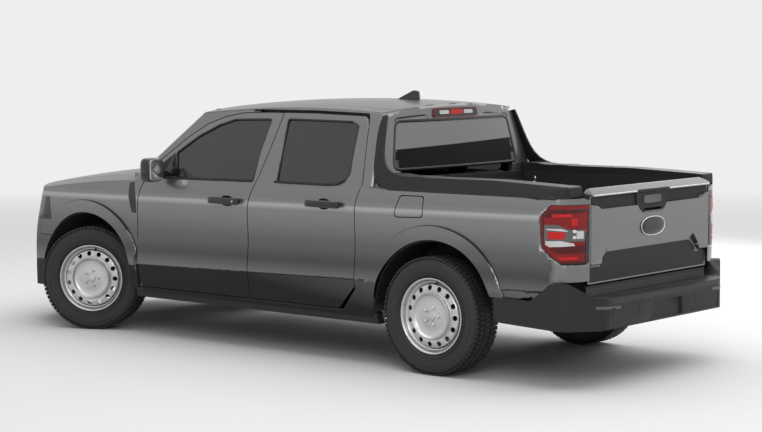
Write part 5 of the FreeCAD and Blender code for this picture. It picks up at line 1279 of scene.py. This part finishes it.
SEAT_Y = -350
CUSHION = placed(SEAT_Y, [(-276, 566, 50), (-266, 676, 50), (226, 628, 30), (226, 566, 20)])
BACKREST = placed(SEAT_Y, [(150, 640, 40), (280, 620, 40), (402, 1190, 50), (330, 1216, 50), (186, 770, 80)])
HEADREST = placed(SEAT_Y, [(347, 1242, 30), (420, 1242, 30), (443, 1388, 35), (377, 1388, 35)])
cushion = stuffed("cushion", CUSHION, -240, 240, 0.010, 0.022, (-150, 150), [(1, 0, -0.30)])
backrest = stuffed("backrest", BACKREST, -234, 234, 0.010, 0.020, (-145, 145), [(0, 1, 0.93)])
headrest = stuffed("headrest", HEADREST, -118, 118, 0.009, 0.012)
for side, x in (("left", 0.370), ("right", -0.370)):
    soft("seat_cushion_" + side, shifted(cushion, x), "front_seats" if side == "left" else None)
    soft("seat_backrest_" + side, shifted(backrest, x))
    soft("seat_headrest_" + side, shifted(headrest, x))
BENCH_Y = 901
BENCH = placed(BENCH_Y, [(-598, 540, 50), (-588, 668, 50), (-170, 640, 30), (-170, 540, 30)])
BENCH_BACK = placed(BENCH_Y, [(-216, 632, 40), (-72, 612, 20), (-14, 1142, 20), (-94, 1176, 40)])
bench = stuffed("bench", BENCH, -626, 626, 0.014, 0.020, (-300, 0, 300))
bench_back = stuffed("bench_back", BENCH_BACK, -626, 626, 0.014, 0.012, (-300, 0, 300), [(0, 1, 1.02)])
soft("bench_cushion", bench, "rear_bench")
soft("bench_backrest", bench_back)
print("soft pieces done")

# %% Seat frames
def block(name, x0, x1, y0, y1, z0, z1):
    rings = []
    for z, k in ((z0, 0.97), (z0 + 8, 1.0), (z1 - 8, 1.0), (z1, 0.97)):
        centre = Vector(((x0 + x1) / 2, (y0 + y1) / 2, z)) / 1000
        rings.append(oval(centre, LEFT, REARWARD, (x1 - x0) * k / 1000, (y1 - y0) * k / 1000, 8.0, 32))
    return lofted(name, rings)


frames = []
for x in (370, -370):
    frames.append(block("base", x - 200, x + 200, SEAT_Y - 250, SEAT_Y + 230, 370, 575))
    for offset in (-55, 55):
        post = [Vector((x + offset, SEAT_Y + y, z)) / 1000 for y, z in ((362, 1185), (392, 1262))]
        frames.append(moulding("post", post, LEFT, 0.012, 0.012, False, 2.0))
frames.append(block("bench_base", -600, 600, BENCH_Y - 560, BENCH_Y - 66, 492, 552))
added("seat_frames", joined("frames", frames), CABIN_PLASTIC, "body", "cabin_plastic")
print("seat frames ready")

# %% [markdown]
# The studio is a pale floor that fades into a pale sky, a large soft light overhead and two soft
# lights at the sides. The floor fades by distance, only for the camera and for reflections, so the
# truck's shadow stays on it.

# %% Studio
SKY = 0.86
AMBIENT = 0.45
FLOOR_HALF = 60.0


def pale_floor():
    f = Finish("studio_floor")
    place = f.place()
    span = f.node("ShaderNodeVectorMath", {"operation": "LENGTH"}, {0: place}, output=1)
    far = span.above(5.0, 9.0)
    seen = f.node("ShaderNodeLightPath", output=0)
    mirrored_seen = f.node("ShaderNodeLightPath", output=3)
    mask = (far * (seen + mirrored_seen)).clamped()
    diffuse = f.node("ShaderNodeBsdfDiffuse", inputs={"Color": grey(0.74)})
    glow = f.node("ShaderNodeEmission", inputs={"Color": grey(SKY), "Strength": 1.0})
    mixed = f.node("ShaderNodeMixShader", inputs={0: mask, 1: diffuse, 2: glow})
    f.node("ShaderNodeOutputMaterial", inputs={"Surface": mixed})
    return f.material


def make_floor():
    mesh = bpy.data.meshes.new("floor")
    corners = [(x * FLOOR_HALF, y * FLOOR_HALF, 0) for x, y in ((-1, -1), (1, -1), (1, 1), (-1, 1))]
    mesh.from_pydata(corners, [], [(0, 1, 2, 3)])
    floor = scene_object("floor", mesh)
    set_finish(floor, pale_floor())


def make_sky():
    world = bpy.data.worlds.new("sky")
    bpy.context.scene.world = world
    f = Finish("sky", world)
    rays = [f.node("ShaderNodeLightPath", output="Is %s Ray" % kind)
            for kind in ("Camera", "Glossy", "Transmission")]
    seen = rays[0].sign("MAXIMUM", rays[0], rays[1])
    through = seen.sign("MAXIMUM", seen, rays[2])
    strength = through * (SKY - AMBIENT) + AMBIENT
    back = f.node("ShaderNodeBackground", inputs={"Color": grey(1.0), "Strength": strength})
    f.node("ShaderNodeOutputWorld", inputs={"Surface": back})


def soft_light(name, place, target, width, height, power):
    data = bpy.data.lights.new(name, "AREA")
    data.shape = "RECTANGLE"
    data.size = width
    data.size_y = height
    data.energy = power
    lamp = scene_object(name, data)
    lamp.location = place
    lamp.rotation_euler = (Vector(target) - Vector(place)).to_track_quat("-Z", "Y").to_euler()


make_floor()
make_sky()
soft_light("overhead", (-1.5, 0.5, 7.0), (0, 0, 0.8), 12.0, 14.0, 760)
soft_light("left_rear", (6.5, 6.0, 4.5), (0, 0.5, 0.8), 3.5, 3.5, 160)
soft_light("right_fill", (-7.0, 0.0, 3.0), (0, 0, 0.8), 5.0, 3.0, 120)
print("studio ready")
